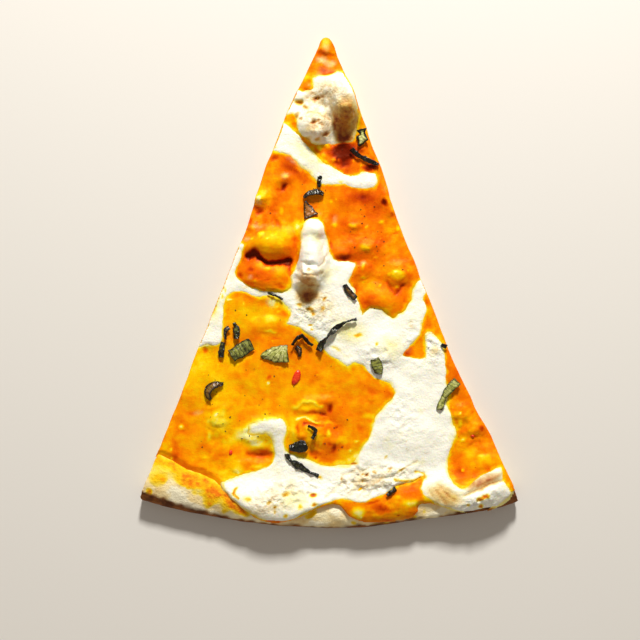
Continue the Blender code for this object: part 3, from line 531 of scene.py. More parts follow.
# %% Sauce: places that rise or sink in the lower half
# the same columns
SAUCE_LOWER = [
    # (-25.4, -8.6) is a pale lump with a painted highlight
    (-25.4, -8.6, 2.6, 2.4, -30, 0.6, 1.0), (-23, -10.4, 1.8, 1.2, 20, 0.2, 0.6),
    (-45.5, -8, 2.2, 1, 0, 0.2, 0.9), (-26, -16.4, 5.4, 2.6, 0, 0.3, 0.5),
    (-22.5, -13, 1.4, 1.1, 0, 0.2, 0.5), (-19.5, -17.5, 3.4, 3.8, 30, 0, 0.3),
    (-18.5, -11, 2.2, 4.4, 35, 0, 0.3), (-38.5, -8.6, 0.9, 1, 0, 0.2, 0.45),
    (-57, -31, 2, 2.9, 10, -0.9, -0.95), (-49.5, -36, 1.1, 1, 0, -0.3, -0.8),
    # (-26, -22.2) is a ridge with a painted highlight, and (-24, -25) the painted shade below it
    (-26, -22.2, 4.6, 1.1, 0, 0.3, 0.6), (-24, -25, 4.6, 0.9, 0, -0.2, -0.4),
    (-27, -44.2, 1.3, 1.3, 0, 0, -0.6), (-27.3, -47, 1, 1.3, 0, 0.2, 1.0), (-5, -45, 4, 1.2, 0, -0.1, -0.2),
    (22, -50, 4.6, 2.4, 0, -0.2, -0.4), (20, -55, 2.4, 1.8, 0, -0.1, -0.3),
    # painted shadow below the crescent lump: (1.2, -57.5), (-2, -60.6) and (-7, -60)
    (1.2, -57.5, 2.1, 3.2, 0, -1.2, -1.0), (-2, -60.6, 3.8, 1.3, -10, -0.7, -0.85),
    (-7, -60, 3.6, 1.2, -5, -0.5, -0.45), (-71, -77, 2.8, 8, 8, 0, -0.38),
    (-52.5, -64.5, 7, 8.4, 0, 0.3, 0.17), (-51.4, -62.6, 4.4, 5, 0, 1.6, 0.16),
    # (-51.8, -59.8) is a painted highlight on the yellow hill
    (-51.8, -59.8, 1.8, 1.2, 0, 0.3, 0.5), (-54.4, -70.2, 2, 2.4, 0, 0.8, 0.3),
    (-42, -84.6, 4.6, 2.6, 0, 0.7, 0.12), (-60.5, -66, 2.4, 3, 0, -0.4, -0.2),
    (-48, -59, 2.4, 2.6, 0, 0.2, 0.36), (-47.5, -64, 1.6, 3, 0, 0, 0.16), (-55, -63.5, 1.6, 2, 0, 0.2, 0.34),
    (-39.6, -69.6, 6.4, 4.4, 0, 0.9, 0.42), (-35.4, -73, 5, 2.6, 0, 0.8, 0.0),
    # painted highlights: (-68, -66.5), and on the yellow spot at (-72.8, -76.9)
    (-68, -66.5, 1.6, 1.3, 0, 0.4, 0.95), (-72.8, -76.9, 1.3, 1.1, 0, 0.3, 0.9),
    (-72.5, -81.5, 1, 1.4, 20, 0.3, 0.9), (-55, -72, 1.5, 2.6, 0, 0.4, 0.5),
    # (-41.5, -86) is a painted highlight
    (-57, -80.6, 1.8, 1.2, 0, 0.2, 0.35), (-41.5, -86, 4.4, 2.6, 0, 0.6, 0.75),
    (-47, -88, 5, 3, 20, 0.2, 0.4), (-44, -73, 4, 4, 0, 0, 0.2), (-40, -70, 6, 5, 0, 0, 0.2),
    (-32, -74.5, 8, 3.4, 0, 0.2, 0.5), (-30, -79.5, 6, 3.2, -4, -0.6, -0.8),
    (-35.6, -79.2, 3.2, 1.9, 0, -0.3, -0.45), (-29.5, -82.6, 3, 1.4, 0, -0.3, -0.35),
    (-31.8, -78.6, 0.8, 0.6, 0, 0.3, 0.7), (-31, -85.4, 8, 1.8, 0, 0.2, 0.45),
    (-44.9, -78.7, 1.1, 1.6, 0, -0.4, -0.95), (-63.5, -60.3, 3, 1.5, 0, 0, -0.3),
    (-52, -81.5, 2.6, 1.2, 0, 0, -0.25), (-57, -86.9, 1.6, 1, -25, -0.2, -0.5),
    (-67.5, -86.8, 2.6, 1, -10, -0.4, -0.75), (-39, -60, 6, 2.6, 20, 0, -0.22),
    (-49, -71, 3, 3.4, -30, 0, -0.2), (-28.6, -63.2, 1, 2, 0, 0.2, 0.6), (-72, -72, 3, 4, 10, 0, 0.1),
    (-76.2, -75.5, 1.8, 3, 15, 0.2, 0.25), (-75, -86, 3, 2.4, -20, 0.2, -0.25), (-80, -85, 2, 2, 0, 0, 0.25),
    (-60, -38, 5, 12, -25, 0, 0.12), (-35, -12, 8, 5, 0, 0, 0.06), (-50, -50, 8, 6, 0, 0, 0.08),
    (0, -34, 16, 8, -10, 0, 0.04),
]
SAUCE_ROSETTE = [
    (-16, -68, 3.4, 8.5, 0, 0.4, 0.42), (-8, -57.6, 9, 2.2, 0, 0.2, 0.4), (-8, -61.6, 8, 2, 0, 0.2, 0.4),
    (-13, -67.5, 1, 3, 15, -0.3, -0.6), (-4, -71, 4.4, 3, 0, 0.3, 0.38), (1, -70, 1.5, 2.6, -10, 0.6, 0.7),
    (0, -64.6, 3, 1.6, 0, 0.3, 0.4), (10.5, -77.5, 1.5, 1.6, 0, 0.3, 0.75),
    (13.4, -73.2, 2, 1, -10, 0.2, 0.7), (-6, -78.6, 4.6, 2.2, 0, -0.5, -0.7),
    (3, -77, 1.6, 2.8, 0, -0.6, -0.8), (1, -75, 1.4, 1.2, 0, -0.3, -0.5), (-5, -80.8, 1.2, 1, 0, -0.4, -0.9),
    (-11, -72, 1.6, 3.2, 0, 0, -0.35), (-1, -74.3, 0.8, 0.7, 0, 0, -1.0), (3.3, -67, 0.7, 0.8, 0, 0, -1.0),
    (7, -76, 0.7, 1, -20, 0, -1.0), (16, -67, 2.8, 2.6, -20, -0.2, -0.4), (10, -80, 8.6, 4, 0, 0, 0.42),
    (5, -83, 8.4, 2, 0, 0, 0.3), (18.5, -62, 3.2, 2.2, 0, 0.2, 0.42), (7, -73, 4, 2.4, 0, 0.2, 0.4),
    (16, -61, 3, 1.4, 0, 0, -0.15), (-17, -74, 2, 3, 0, 0, -0.1),
]
SAUCE_RIGHT = [
    # (62, -60) is a painted highlight
    (59.5, -57, 2.8, 4.8, 20, 0.2, -0.06), (62, -60, 1, 1, 0, 0.2, 1.0), (60, -61, 2.6, 2.2, 0, 0.8, 0.15),
    (62, -65, 1.8, 2.8, 0, 0.5, 0.45), (66, -78, 5, 4, 0, 0, 0.3), (63, -72.5, 1.8, 1.8, 0, 0.5, 0.85),
    (71.5, -68, 1.8, 2.4, 20, -0.4, -0.65), (67.5, -70.8, 1.1, 1, 0, -0.3, -0.85),
    (73.5, -81, 4.4, 2.8, 14, 0.8, 0.5), (68.5, -87, 4, 2.6, 0, 0.2, -0.06),
    (62, -87.5, 4.4, 5, 0, -0.2, -0.4), (63.3, -86, 1, 1, 0, 0.9, 1.0), (36.6, -31.6, 5, 4.4, 0, 0, -0.85),
    (25.5, -104, 6, 2.5, -8, -0.3, -0.8), (34, -96.6, 8.4, 3.6, 10, 0.2, -0.4),
    (39, -101.3, 6.6, 2.8, 5, 0.5, 0.68), (14, -106.5, 5, 4, 0, 0.5, 0.95),
    (23, -107.5, 3.2, 1.8, 0, 0.3, 0.4), (32.8, -107, 0.9, 1, 0, -0.4, -1.0),
    (32, -98.5, 2.2, 1.4, 0, 0.2, 0.6), (15, -100.7, 6.2, 1.3, -3, -0.4, -0.8),
    (21, -101.4, 4.2, 1.1, 5, -0.3, -0.6), (35, -93, 5.4, 1.1, 8, -0.4, -0.9),
    (28, -110, 3.4, 1.2, 0, 0, -0.35), (16.2, -108, 1, 0.8, 0, 0.3, 0.8),
]
SAUCE_SPOTS = SAUCE_TIP + SAUCE_UPPER_LEFT + SAUCE_UPPER_RIGHT + SAUCE_LOWER + SAUCE_ROSETTE + SAUCE_RIGHT

# %% Sauce: lines and broad patches
# a line of points, its half width, rise, tone
SAUCE_LINES = [
    # the first line's deep tone is the painted shadow below the cushion's cliff
    ([(-37, 12.5), (-33, 14), (-30, 10.6), (-22, 9.2), (-17, 11)], 2.2, -2.6, -2.2),
    ([(-17.6, 9), (-17, 6), (-16, 3)], 1.5, -0.6, -0.9),
    ([(28, -0.4), (31.2, -4.6), (35, -0.8)], 1.5, -0.8, -0.5),
    ([(-15.5, -57.5), (-11, -54.6), (-6, -54.6), (-2.6, -57)], 1.7, 0.6, 0.6),
    ([(-14, -63.6), (-9.5, -61.8), (-6, -64.2), (-3.4, -66)], 1.1, 0.6, 0.9),
    ([(-10, -65.4), (-6.5, -65), (-2.5, -66.6)], 1.1, -0.5, -0.9),
    ([(-79, -80), (-74, -83), (-68, -87), (-60, -89.6), (-55, -91.6), (-50, -95)], 2.0, 0, -0.25),
    ([(-50, -95), (-47, -97), (-44, -100)], 1.6, 0, -0.5),
    ([(-75, -84.2), (-71, -85.6), (-66, -88.6), (-60, -90.2)], 1.6, 0, 0.7),
    ([(-57.4, -92.4), (-54, -94), (-51, -96.8)], 1.6, 0, 0.7),
]
# x, y, half length, half width, turn, how curdled
CURDLED = [
    (-26, 32, 16, 24, 0, 0.8), (22, 14, 24, 26, 0, 0.6), (5, 60, 18, 12, 0, 1.0), (0, 104, 8, 12, 0, 0.9),
    (66, -68, 16, 22, 20, 0.9), (-6, -70, 16, 14, 0, 1.2), (-50, -74, 22, 20, 0, 0.5),
    (28, -103, 20, 10, 0, 0.8),
]
# the sauce is paler in the lower pool and redder at the upper right, where part of the red is painted shade
# below the band of cheese: the same, and tone
BROAD_TONES = [
    (-50, -52, 52, 52, 0, 0.34), (0, -44, 36, 22, 0, 0.12), (-32, -14, 26, 12, 0, 0.2),
    (62, -70, 20, 26, 20, 0.14), (-10, -72, 20, 16, 0, 0.14), (16, 36, 20, 16, -20, -0.34),
    (-28, 40, 14, 12, -10, 0.07), (-15, 54, 12, 7, -35, -0.34), (12, 14, 26, 18, 0, -0.24),
    (-42, -82, 10, 6, 10, 0.2), (-66, -58, 14, 14, 0, -0.3), (4, 29, 9, 10, 0, -0.2), (20, -9, 9, 7, 0, -0.3),
    (-26, 19, 10, 6, 0, 0.06), (-50, -65, 7, 6, 0, 0.1), (34, -4, 12, 10, 0, -0.12),
]
# the same, and amount of cream foam; at (1.6, 102.4) and (-26, -8.8) it is a painted highlight
MILK_AND_HIGHLIGHTS = [
    (-2.4, 103.6, 3.6, 2.2, -15, 0.8), (1.6, 102.4, 3.4, 1.8, 10, 0.7), (-0.5, 99.4, 6, 2, 0, 0.12),
    (-0.6, 110, 3, 3.4, 0, 0.25), (-4, 96.8, 3.6, 1.6, 20, 0.3), (36.6, -30.4, 4, 2.4, 0, 0.1),
    (-19.4, 49.4, 2.8, 1.8, 0, 0.4), (-31.4, 38, 2, 1.8, 0, 0.4), (-33, 27, 3.6, 1.4, -10, 0.35),
    (-37.6, 20.6, 2, 1.6, 0, 0.4), (-15, 56, 6, 1, -38, 0.3), (-26, -8.8, 3.2, 2.4, -30, 0.5),
    (17, 9.4, 1.8, 2, 0, 0.4), (3.6, 30, 2, 2.6, 0, 0.25), (-36, 3, 1.6, 1.2, 0, 0.4),
    (-60, -60.4, 4, 1.4, 0, 0.2),
]
# the same, and how high the sauce banks up against the cheese
BANKS = [
    (-28, -3, 20, 7, -8, 1.0), (25, -11, 20, 10, 8, 0.8), (6, 13, 9, 5, 0, 0.9), (48, -8, 5, 12, 20, 0.5),
]

# %% Sauce brushes
RELIEF_SHARE, DARKNESS, CURD_PALENESS = 0.6, 0.75, 0.35


def sauce_relief(points, spread):
    """How far each point of the sauce rises. Spread is where the brushes see it."""
    lift = dabs(spread, [spot[:6] for spot in SAUCE_SPOTS])
    for line, width, rise, _ in SAUCE_LINES:
        lift += rise * stroke(spread, line, width)
    lumps = 0.4 * curds(spread, 4.4, 1) + 0.3 * curds(spread, 2.2, 2) - 0.2
    return RELIEF_SHARE * lift + region(points, CURDLED) * lumps + ripples(points, (0.06, 1.7, 5))


def sauce_tone(points, spread):
    """From -1, deep red, to 1, cream."""
    tone = dabs(spread, [(*spot[:5], spot[6]) for spot in SAUCE_SPOTS])
    for line, width, _, amount in SAUCE_LINES:
        tone += amount * stroke(spread, line, width)
    tone *= np.where(tone < 0, DARKNESS, 1)
    tone += dabs(points, BROAD_TONES)
    mottled = ripples(points, (0.2, 7, 51), (0.14, 3.2, 52), (0.1, 1.6, 53))
    lumps = curds(spread, 2.4, 2) * curds(spread, 4.4, 1)
    return np.clip(tone + mottled + CURD_PALENESS * region(points, CURDLED) * lumps, -1, 1)


# %% Sauce piece
DIP_SLOPE, DIP_REACH = 0.5, 1.8
sauce = duplicate(skin, "sauce_layer")
under_cheese = DIP_SLOPE * np.clip(skin_shore, 0, DIP_REACH)
in_sauce = step(0.6, -0.8, skin_shore)
bank = region(skin_points, BANKS) * step(0.3, -1.3, skin_shore)
lift = sauce_relief(skin_points, skin_loose) * in_sauce + bank - under_cheese
sauce_points = skin_points.copy()
sauce_points[:, 2] += lift * skin_up
print("sauce relief from", lift.min().round(2), "to", lift.max().round(2), "mm")

# %% [markdown]
# On the bare rim at the left the sauce thins out to nothing over the dough, which is raised there to meet
# it. At the right corner the cheese hangs over the rim, so the sauce beneath it is drawn in from the rim's
# wall.

# %% Sauce along the rim
RIM_EDGE = [
    (-79.5, -80.6), (-72.6, -83.6), (-66, -87.6), (-60, -89.6), (-54.6, -91.8), (-50, -95.2), (-46, -97.8),
    (-42.4, -102), (-37, -106),
]
CORNER_EDGE = [
    (44, -104), (50, -105), (55, -106), (62, -108), (69.6, -108.4), (76, -107), (82, -104), (86.4, -100),
]
# the slice was cut from a round pie, and this is that pie's middle and size
PIE_MIDDLE_Y, PIE_RADIUS = 117.3, 231.6
RIM_FILL, RIM_FILL_WIDTH = 1.5, 10.0
FULL_SAUCE = 3.6
# a point beyond the dough's edge stands over the dough a little nearer to the pie's middle
INWARD = 0.975
CLEAR_OF_WALL = 1.5
crust_tree = tree_of("crust")


def rim_fill(points):
    """How far the dough is raised beneath the sauce's edge, so that no groove is left there."""
    return RIM_FILL * stroke(points, RIM_EDGE, RIM_FILL_WIDTH)


def thin_sauce(edge, width, least):
    """Keeps the sauce this low above the dough along an edge, and at most FULL_SAUCE at this distance."""
    near, fill = stroke(skin_points, edge, width), rim_fill(skin_points)
    for i in np.flatnonzero(near):
        x, y, z = sauce_points[i]
        ground = height_on(crust_tree, x, y)
        if ground is None:
            ground = height_on(crust_tree, INWARD * x, PIE_MIDDLE_Y + INWARD * (y - PIE_MIDDLE_Y))
        if ground is not None:
            sauce_points[i, 2] = min(z, ground + fill[i] + FULL_SAUCE + near[i] * (least - FULL_SAUCE))


thin_sauce(RIM_EDGE, 7.0, -0.4)
thin_sauce(CORNER_EDGE, 6.0, -1.0)
from_middle = sauce_points[:, :2] - (0, PIE_MIDDLE_Y)
pulled_in = np.minimum(1, (PIE_RADIUS - CLEAR_OF_WALL) / np.hypot(*from_middle.T))
at_corner = stroke(skin_points, CORNER_EDGE, 7.0) > 0.1
sauce_points[at_corner, :2] = (from_middle * pulled_in[:, None] + (0, PIE_MIDDLE_Y))[at_corner]
put_points(sauce, sauce_points)
print("points drawn in at the corner:", int(at_corner.sum()))

# %% Sauce paint
# x, y, half length, half width, turn, and how wide the yellow fringe along the shore is
FRINGE = [
    (-32, -72, 14, 12, 0, 0.9), (-48, -62, 10, 8, 0, 0.4), (10, -84, 16, 5, 0, 0.9),
    (-42, -90, 12, 6, 0, 0.8), (-24, -12, 10, 12, 0, 0.6), (24, -56, 8, 14, 0, 0.5), (36, 0, 10, 14, 0, 0.4),
    (-14, 26, 6, 10, 0, 0.6), (38, -102, 12, 4, 0, 0.5), (66, -82, 12, 8, 0, 0.4),
]
# near the tip the sauce has nearly none
NO_FRINGE = [(0, 98.6, 11, 9, 0, 1.6)]


def fringe_width(points):
    return np.clip(0.3 + ripples(points, (0.4, 8, 61)) + region(points, FRINGE), 0.1, 1.3)


paint(sauce, "fringe", fringe_width(skin_points) * (1 - 0.85 * region(skin_points, NO_FRINGE)))
paint(sauce, "tone", sauce_tone(skin_points, skin_loose))
paint(sauce, "milk_and_highlight", region(skin_loose, MILK_AND_HIGHLIGHTS))
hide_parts("sauce")
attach(sauce, "root")
tones = painted(sauce, "tone")
print("sauce tones from", tones.min().round(2), "to", tones.max().round(2))

# %% [markdown]
# ## Cheese
#
# Each patch of cheese is the skin's own surface, cut out a little beyond its shore, given thickness and
# raised so that it comes out of the sauce along that shore. Its edge then lies hidden in the sauce, and the
# visible outline is where two soft surfaces meet, as on the real slice. Where the cheese dried in the oven
# it is wrinkled or porous. One table again holds shape and colour: stain goes from white through yellow and
# orange to red brown, and toast from white through tan to brown. That toast is browning and also painted
# shade: on the bubble's right lobe, on the finger's end and as its painted shadow, and in pits, creases and
# folds.

# %% Cheese: pits and stains
# x, y, half length, half width, turn, rise in millimetres, stain, toast and painted shade
CHEESE_TIP = [
    # painted shade: the toast in the bubble's pits and valley, and over its right lobe, whose face turns from
    # the key light, from (9.4, 75) to (10, 84)
    (-4.9, 85.4, 3.2, 1.8, 5, -1.2, 0.2, 0.85), (-1.6, 86, 2.2, 1.4, 10, -0.4, 0, 0.4),
    (-13.3, 84.2, 2.5, 1.9, -10, -0.8, 0.5, 0.4), (-10.4, 81.9, 2.4, 1.5, -20, -0.5, 0.3, 0.55),
    (-6.7, 73.5, 2.4, 1.1, 12, -0.8, 0.3, 0.85), (-4.2, 74.5, 1.7, 1, 20, -0.4, 0.1, 0.6),
    (-0.8, 69.4, 2.4, 1.4, 35, -0.7, 0.15, 0.7), (-12, 75.8, 1.6, 1.3, 0, -0.5, 0.1, 0.55),
    (-2.6, 73, 1.8, 1, -15, -0.4, 0, 0.5), (-9, 66.4, 3.4, 1.7, -30, 0, 0.25, 0.5),
    (-4, 66.2, 1.8, 1.4, 0, -0.3, 0.2, 0.5), (9.4, 75, 8.8, 12.5, 0, -0.3, 0.3, 0.46),
    (8, 66.6, 7, 3.4, 0, 0, 0.2, 0.4), (2, 93, 10, 5, 0, 0, 0.03, 0.06), (9.5, 81, 6, 5, 0, 0, 0.02, 0.08),
    (5.6, 71, 3, 7, 10, 0, 0.05, 0.24), (8, 69, 6, 5, 0, 0, 0.1, 0.24),
    (11.6, 78, 2.2, 6, -15, 0.2, 0.12, -0.12), (8.5, 67.6, 4.4, 2.2, 0, 0, 0.1, 0.3),
    (3.6, 74, 1.6, 6.4, 0, -0.3, 0, 0.4), (10, 84, 4.4, 3, 0, -0.2, 0, 0.06),
    (-8, 71, 4.4, 3.4, 0, 0, 0, 0.22), (-14, 78.6, 1.6, 2.4, 0, 0, 0.1, 0.5),
    (-6.6, 88.6, 3, 1.2, 0, 0, 0, 0.3), (-9.5, 86.6, 1.6, 1, 0, -0.2, 0, 0.35),
    (1.4, 90.6, 2, 1.2, 0, 0, 0, 0.25),
]
CHEESE_BAND = [
    (5.8, 47.2, 1.7, 1.1, 0, 0, 0.45, 0), (-24, 63.6, 1.4, 1, 0, 0, 0.4, 0),
    # (-9, -0.6) is painted shade on the finger's end, which faces away from the light
    (-9, -0.6, 6.4, 4.6, 0, 0, 0.12, 0.42), (-8.4, 7, 1.2, 1, 0, -0.6, 0, 0.5),
    (14.5, -24, 2.8, 1.4, 0, -0.2, 0.45, 0.1), (23, -27.8, 1, 0.9, 0, 0, 0.5, 0),
    (-13, -9.5, 2, 1.2, 10, -0.5, 0.55, 0.4), (-0.7, -7.5, 1, 1.7, -25, -0.6, 0.55, 0.5),
    (-8, -12.3, 2.7, 1.3, -25, -0.4, 0.45, 0.3), (-6.6, -13.8, 1.2, 0.9, 0, -0.4, 0.6, 0.4),
    (-2, -11.8, 1.6, 1.2, 0, -0.3, 0.35, 0.3), (-8, -19, 2.4, 1, 0, -0.4, 0.55, 0.3),
    (-6.9, -21.2, 1.2, 0.9, 0, -0.3, 0.5, 0.3), (-47.6, -2.8, 1.2, 2, 10, 0, 0.42, 0),
    (-49, -6, 1.2, 1.8, 0, 0, 0.4, 0), (-52.5, -12, 1.6, 6.4, -20, 0, 0.24, 0),
    (4, -30.4, 3.6, 1.2, -35, -0.2, 0.35, 0.1), (-31, -4.6, 3, 1, -10, 0, 0.1, 0.1),
    (-22.6, -6.6, 3.4, 0.8, -28, -0.4, 0, 0.75), (-37, -1.4, 5, 1, -12, 0, 0.05, 0.2),
]
CHEESE_POOL = [
    (-37, -99.5, 3.2, 2.3, 0, 0, 0.44, 0), (-27, -101, 1.5, 1.2, 0, -0.5, 0.4, 0.35),
    (-24.1, -103.4, 1.1, 1.1, 0, -0.5, 0.55, 0.4), (-24, -105.4, 1.1, 0.8, 0, -0.3, 0.3, 0.4),
    (-19, -97, 2.6, 1.3, 0, -0.2, 0.3, 0.2), (-18.6, -107.4, 1.5, 1.5, 0, -0.2, 0.5, 0),
    (-13, -103, 1.5, 2, 30, -0.2, 0.42, 0), (-6, -98.4, 2.6, 1.1, 0, -0.4, 0.7, 0.1),
    (-6, -101.8, 1.9, 1.1, 0, -0.5, 0.5, 0.3), (35, -86.3, 2.4, 0.9, 22, -0.4, 0.55, 0.35),
    (29.5, -85.2, 2.2, 0.8, 0, -0.2, 0.15, 0.5), (29, -87, 1.8, 0.7, 0, -0.2, 0.1, 0.5),
    (18.5, -88.8, 0.8, 1.1, 20, -0.3, 0.15, 0.9), (16.5, -88, 1.2, 0.7, 0, -0.2, 0.3, 0.4),
    (16.8, -91.6, 0.7, 1, 0, -0.2, 0.35, 0.3), (22, -87.8, 1.4, 0.8, 0, -0.2, 0.2, 0.6),
    (27.3, -80.8, 0.7, 1, 0, -0.1, 0.35, 0.4), (37, -76.5, 0.8, 0.7, 0, 0, 0, 0.35),
    (36, -72.4, 0.6, 0.6, 0, 0, 0, 0.35), (-3, -89.7, 1.4, 0.8, 0, 0, 0.55, 0.3),
    (12.2, -84.3, 2.4, 1, -10, -0.2, 0.4, 0.5), (6.4, -90.6, 0.7, 1, 0, -0.2, 0.1, 0.6),
    (-20, -97.6, 1.8, 1, 0, 0, 0.25, 0.3), (-24, -110, 3, 1.4, -20, 0, 0.15, 0.3),
    (65.3, -102, 1.6, 1.2, 0, -0.3, 0.5, 0.2), (70.5, -102.5, 1.6, 2, 0, -0.3, 0.68, 0.1),
    # painted shade: on the corner's lip (74, -106), on the fan (54, -98), on the finger's front (-9.5, 3) and
    # on the fold's side (72, -91.6); (-9, -5.6) is the finger's painted shadow
    (74, -106, 8, 2.6, 8, 0, 0, 0.7), (50, -31, 3.4, 3, -40, -0.2, 0.05, 0.25),
    (39, -20, 3, 1.4, -40, -0.2, 0.05, 0.2), (54, -98, 12, 7, -20, 0, 0.16, 0.46),
    (-9, -5.6, 7.4, 4.8, 0, 0, 0.24, 0.85), (-9.5, 3, 6, 4.4, 0, 0, 0, 0.3),
    (72, -91.6, 12, 4.2, 22, -0.3, 0.06, 0.66), (-39, -68.4, 8, 4, 10, 0, 0.12, 0),
    (-31, -70.8, 6, 3, 0, 0, 0.14, 0), (-36, -72, 5, 3, 0, 0, 0.18, 0), (-10, 60, 14, 5, -40, 0, 0.1, 0),
    (-6, 20, 5, 9, 0, 0, 0.08, 0), (-14, -100, 12, 6, 10, 0, 0.12, 0), (-52, -10, 4, 12, 0, 0, 0.12, 0),
    (10, -22, 12, 8, -20, 0, 0.16, 0), (30, -30, 10, 8, -20, 0, 0.1, 0), (0, 4, 5, 6, 0, 0, 0.1, 0),
]
CHEESE_SPOTS = CHEESE_TIP + CHEESE_BAND + CHEESE_POOL

# %% Cheese: lines, folds and pores
# a line of points, its half width, rise, stain, toast and painted shade
CHEESE_LINES = [
    # the toast along these lines is painted shade in creases: on the bubble, on the finger's end, along the
    # fold from (63, -97.8) and in the foot
    ([(-9, 79), (-4, 78.2), (0, 76.6)], 1.0, -0.4, 0, 0.45),
    ([(-8, 70.6), (-5, 70.8), (-3, 69)], 0.8, -0.2, 0, 0.3),
    ([(-14, 6.6), (-10, 3.6), (-5, 3.2), (-2.4, 5)], 1.2, -0.7, 0, 0.5),
    ([(-12, 2.4), (-8, -0.6), (-4.4, -0.4)], 1.0, -0.5, 0, 0.45),
    ([(-9.5, 6.4), (-7, 6), (-5.6, 4.6)], 0.8, -0.5, 0, 0.7),
    ([(-2.4, 9), (0.6, 13), (0.8, 17)], 0.9, -0.5, 0, 0.3),
    ([(-4, 7), (-1.4, 11), (-2, 16)], 0.9, -0.4, 0, 0.25),
    ([(-42.2, -94.4), (-43, -97), (-41.2, -99.6)], 1.2, -0.3, 0.65, 0.1),
    ([(41.5, -87.4), (44.6, -88), (45.6, -90), (43, -91.4)], 1.1, -0.5, 0.45, 0.5),
    ([(31, -91), (37, -92), (43, -91)], 1.0, 0.3, 0.5, 0.2),
    ([(69, -99.6), (71.4, -99), (73.4, -98.4)], 1.0, -0.2, 0.68, 0),
    ([(63, -97.8), (70, -95.2), (80, -91)], 1.1, -0.8, 0.1, 0.8),
    ([(65, -94.8), (72, -91.6), (80, -88)], 1.6, 0.5, 0, 0.3),
    ([(15, -95.4), (21, -92.6), (27, -89.6)], 0.8, -0.6, 0, 0.55),
    ([(6, -89.2), (10, -88.6), (14.4, -86)], 0.8, -0.5, 0, 0.5),
    ([(33, -88), (37, -85.8), (41, -82.6)], 0.8, -0.6, 0, 0.5),
    ([(-1, -99.4), (3, -95), (7, -91.5)], 1.0, -0.6, 0, 0.35),
    ([(12, -85), (15, -87), (19, -86)], 0.7, -0.4, 0, 0.35),
]
# the share of a line's toast and painted shade that is painted, because a crease is paler than a spot
LINE_TOAST_AND_SHADE = 0.4
# x, y, half length, half width, turn, amount
FOOT = [(20, -91, 27, 8.5, 12, 1.1), (-16, -94, 20, 6, 10, 0.5)]
FAN = [(54, -98, 14, 9, -22, 0.7)]
CRUMPLED = [
    (20, -91, 28, 9, 12, 1.3), (-18, -97, 24, 8, 14, 0.9), (46, -30, 14, 12, -30, 0.9),
    (34, -60, 14, 18, 0, 0.35), (70, -100, 14, 6, 20, 0.7), (-6, -14, 18, 12, -30, 0.9),
    (24, -34, 14, 8, -20, 0.5),
]
MIDDLE_FOLDS = [(41, -20, 10, 7, -20, 1.0), (50, -36, 9, 9, -30, 1.0), (0, 13, 4, 9, 0, 0.8)]
POROUS = [
    (-4, -10, 14, 12, -20, 0.8), (-26, -101, 20, 10, 28, 0.8), (1, 80, 18, 19, 0, 1.6),
    (20, -92, 26, 8, 15, 0.4),
]
# the lip over the rim at the right corner, which is smoothed, and where a lip is raised
CORNER_LIP = [(72, -107.5, 20, 5, 8, 2.0)]
RAISED_LIP = [
    (-30, -106, 12, 6, -28, 0.7), (-10, -104, 13, 5, 22, 0.6), (-42, -98, 6, 7, -50, 0.6),
    (30, -92, 18, 4, 8, 0.5), (64, -104, 20, 5, 4, 0.4),
]


def folds(points):
    """1 in the bottoms of the cheese's folds, which run differently from place to place."""
    along_rim = np.maximum(wrinkles(points, 28, 11, 2.6, 3), 0.7 * wrinkles(points, 40, 6, 1.7, 7))
    total = region(points, FOOT) * along_rim
    total += region(points, FAN) * fan_folds(points, 42, -86, 16, 7, 5)
    total += region(points, MIDDLE_FOLDS) * wrinkles(points, -38, 8, 2.2, 9)
    return np.clip(total, 0, 1)


def cheese_sums(spread, column):
    """The table's sum for one of its columns: 0 for rise, 1 for stain, 2 for toast and painted shade."""
    total = dabs(spread, [(*spot[:5], spot[5 + column]) for spot in CHEESE_SPOTS])
    for line in CHEESE_LINES:
        total += line[2 + column] * stroke(spread, line[0], line[1]) * (LINE_TOAST_AND_SHADE if column == 2 else 1)
    return total


# %% Cutting the cheese from the skin
MARGIN, LEAST_UP = 1.9, 0.15


def cut_from_skin(name, node):
    """The part of the skin over one solid of cheese and MARGIN beyond it."""
    piece = duplicate(skin, name)
    low, high = (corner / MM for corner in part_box(node))
    inside = (skin_shore > -MARGIN) & (skin_owner == CHEESES.index(node))
    inside &= normals_of(skin)[:, 2] > LEAST_UP
    for axis in (0, 1):
        inside &= (skin_points[:, axis] > low[axis] - MARGIN) & (skin_points[:, axis] < high[axis] + MARGIN)
    piece.data.vertices.foreach_set("select", ~inside)
    bpy.ops.object.mode_set(mode="EDIT")
    bpy.ops.mesh.select_mode(type="VERT")
    bpy.ops.mesh.delete(type="VERT")
    bpy.ops.object.mode_set(mode="OBJECT")
    keep_largest(piece)
    return piece


def keep_largest(piece):
    """Drops every loose scrap of a mesh."""
    select_only(piece)
    bpy.ops.mesh.separate(type="LOOSE")
    parts = sorted(bpy.context.selected_objects, key=lambda part: len(part.data.vertices))
    for scrap in parts[:-1]:
        if scrap != piece:
            bpy.data.objects.remove(scrap)
    if parts[-1] != piece:
        piece.data = parts[-1].data
        bpy.data.objects.remove(parts[-1])


# %% Cheese pieces
FOLD_DEPTH, FIBRE_DEPTH, PORE_DEPTH, RIDGE_HEIGHT = 0.6, 0.1, 0.8, 1.9
CHEESE_THICKNESS = 1.3


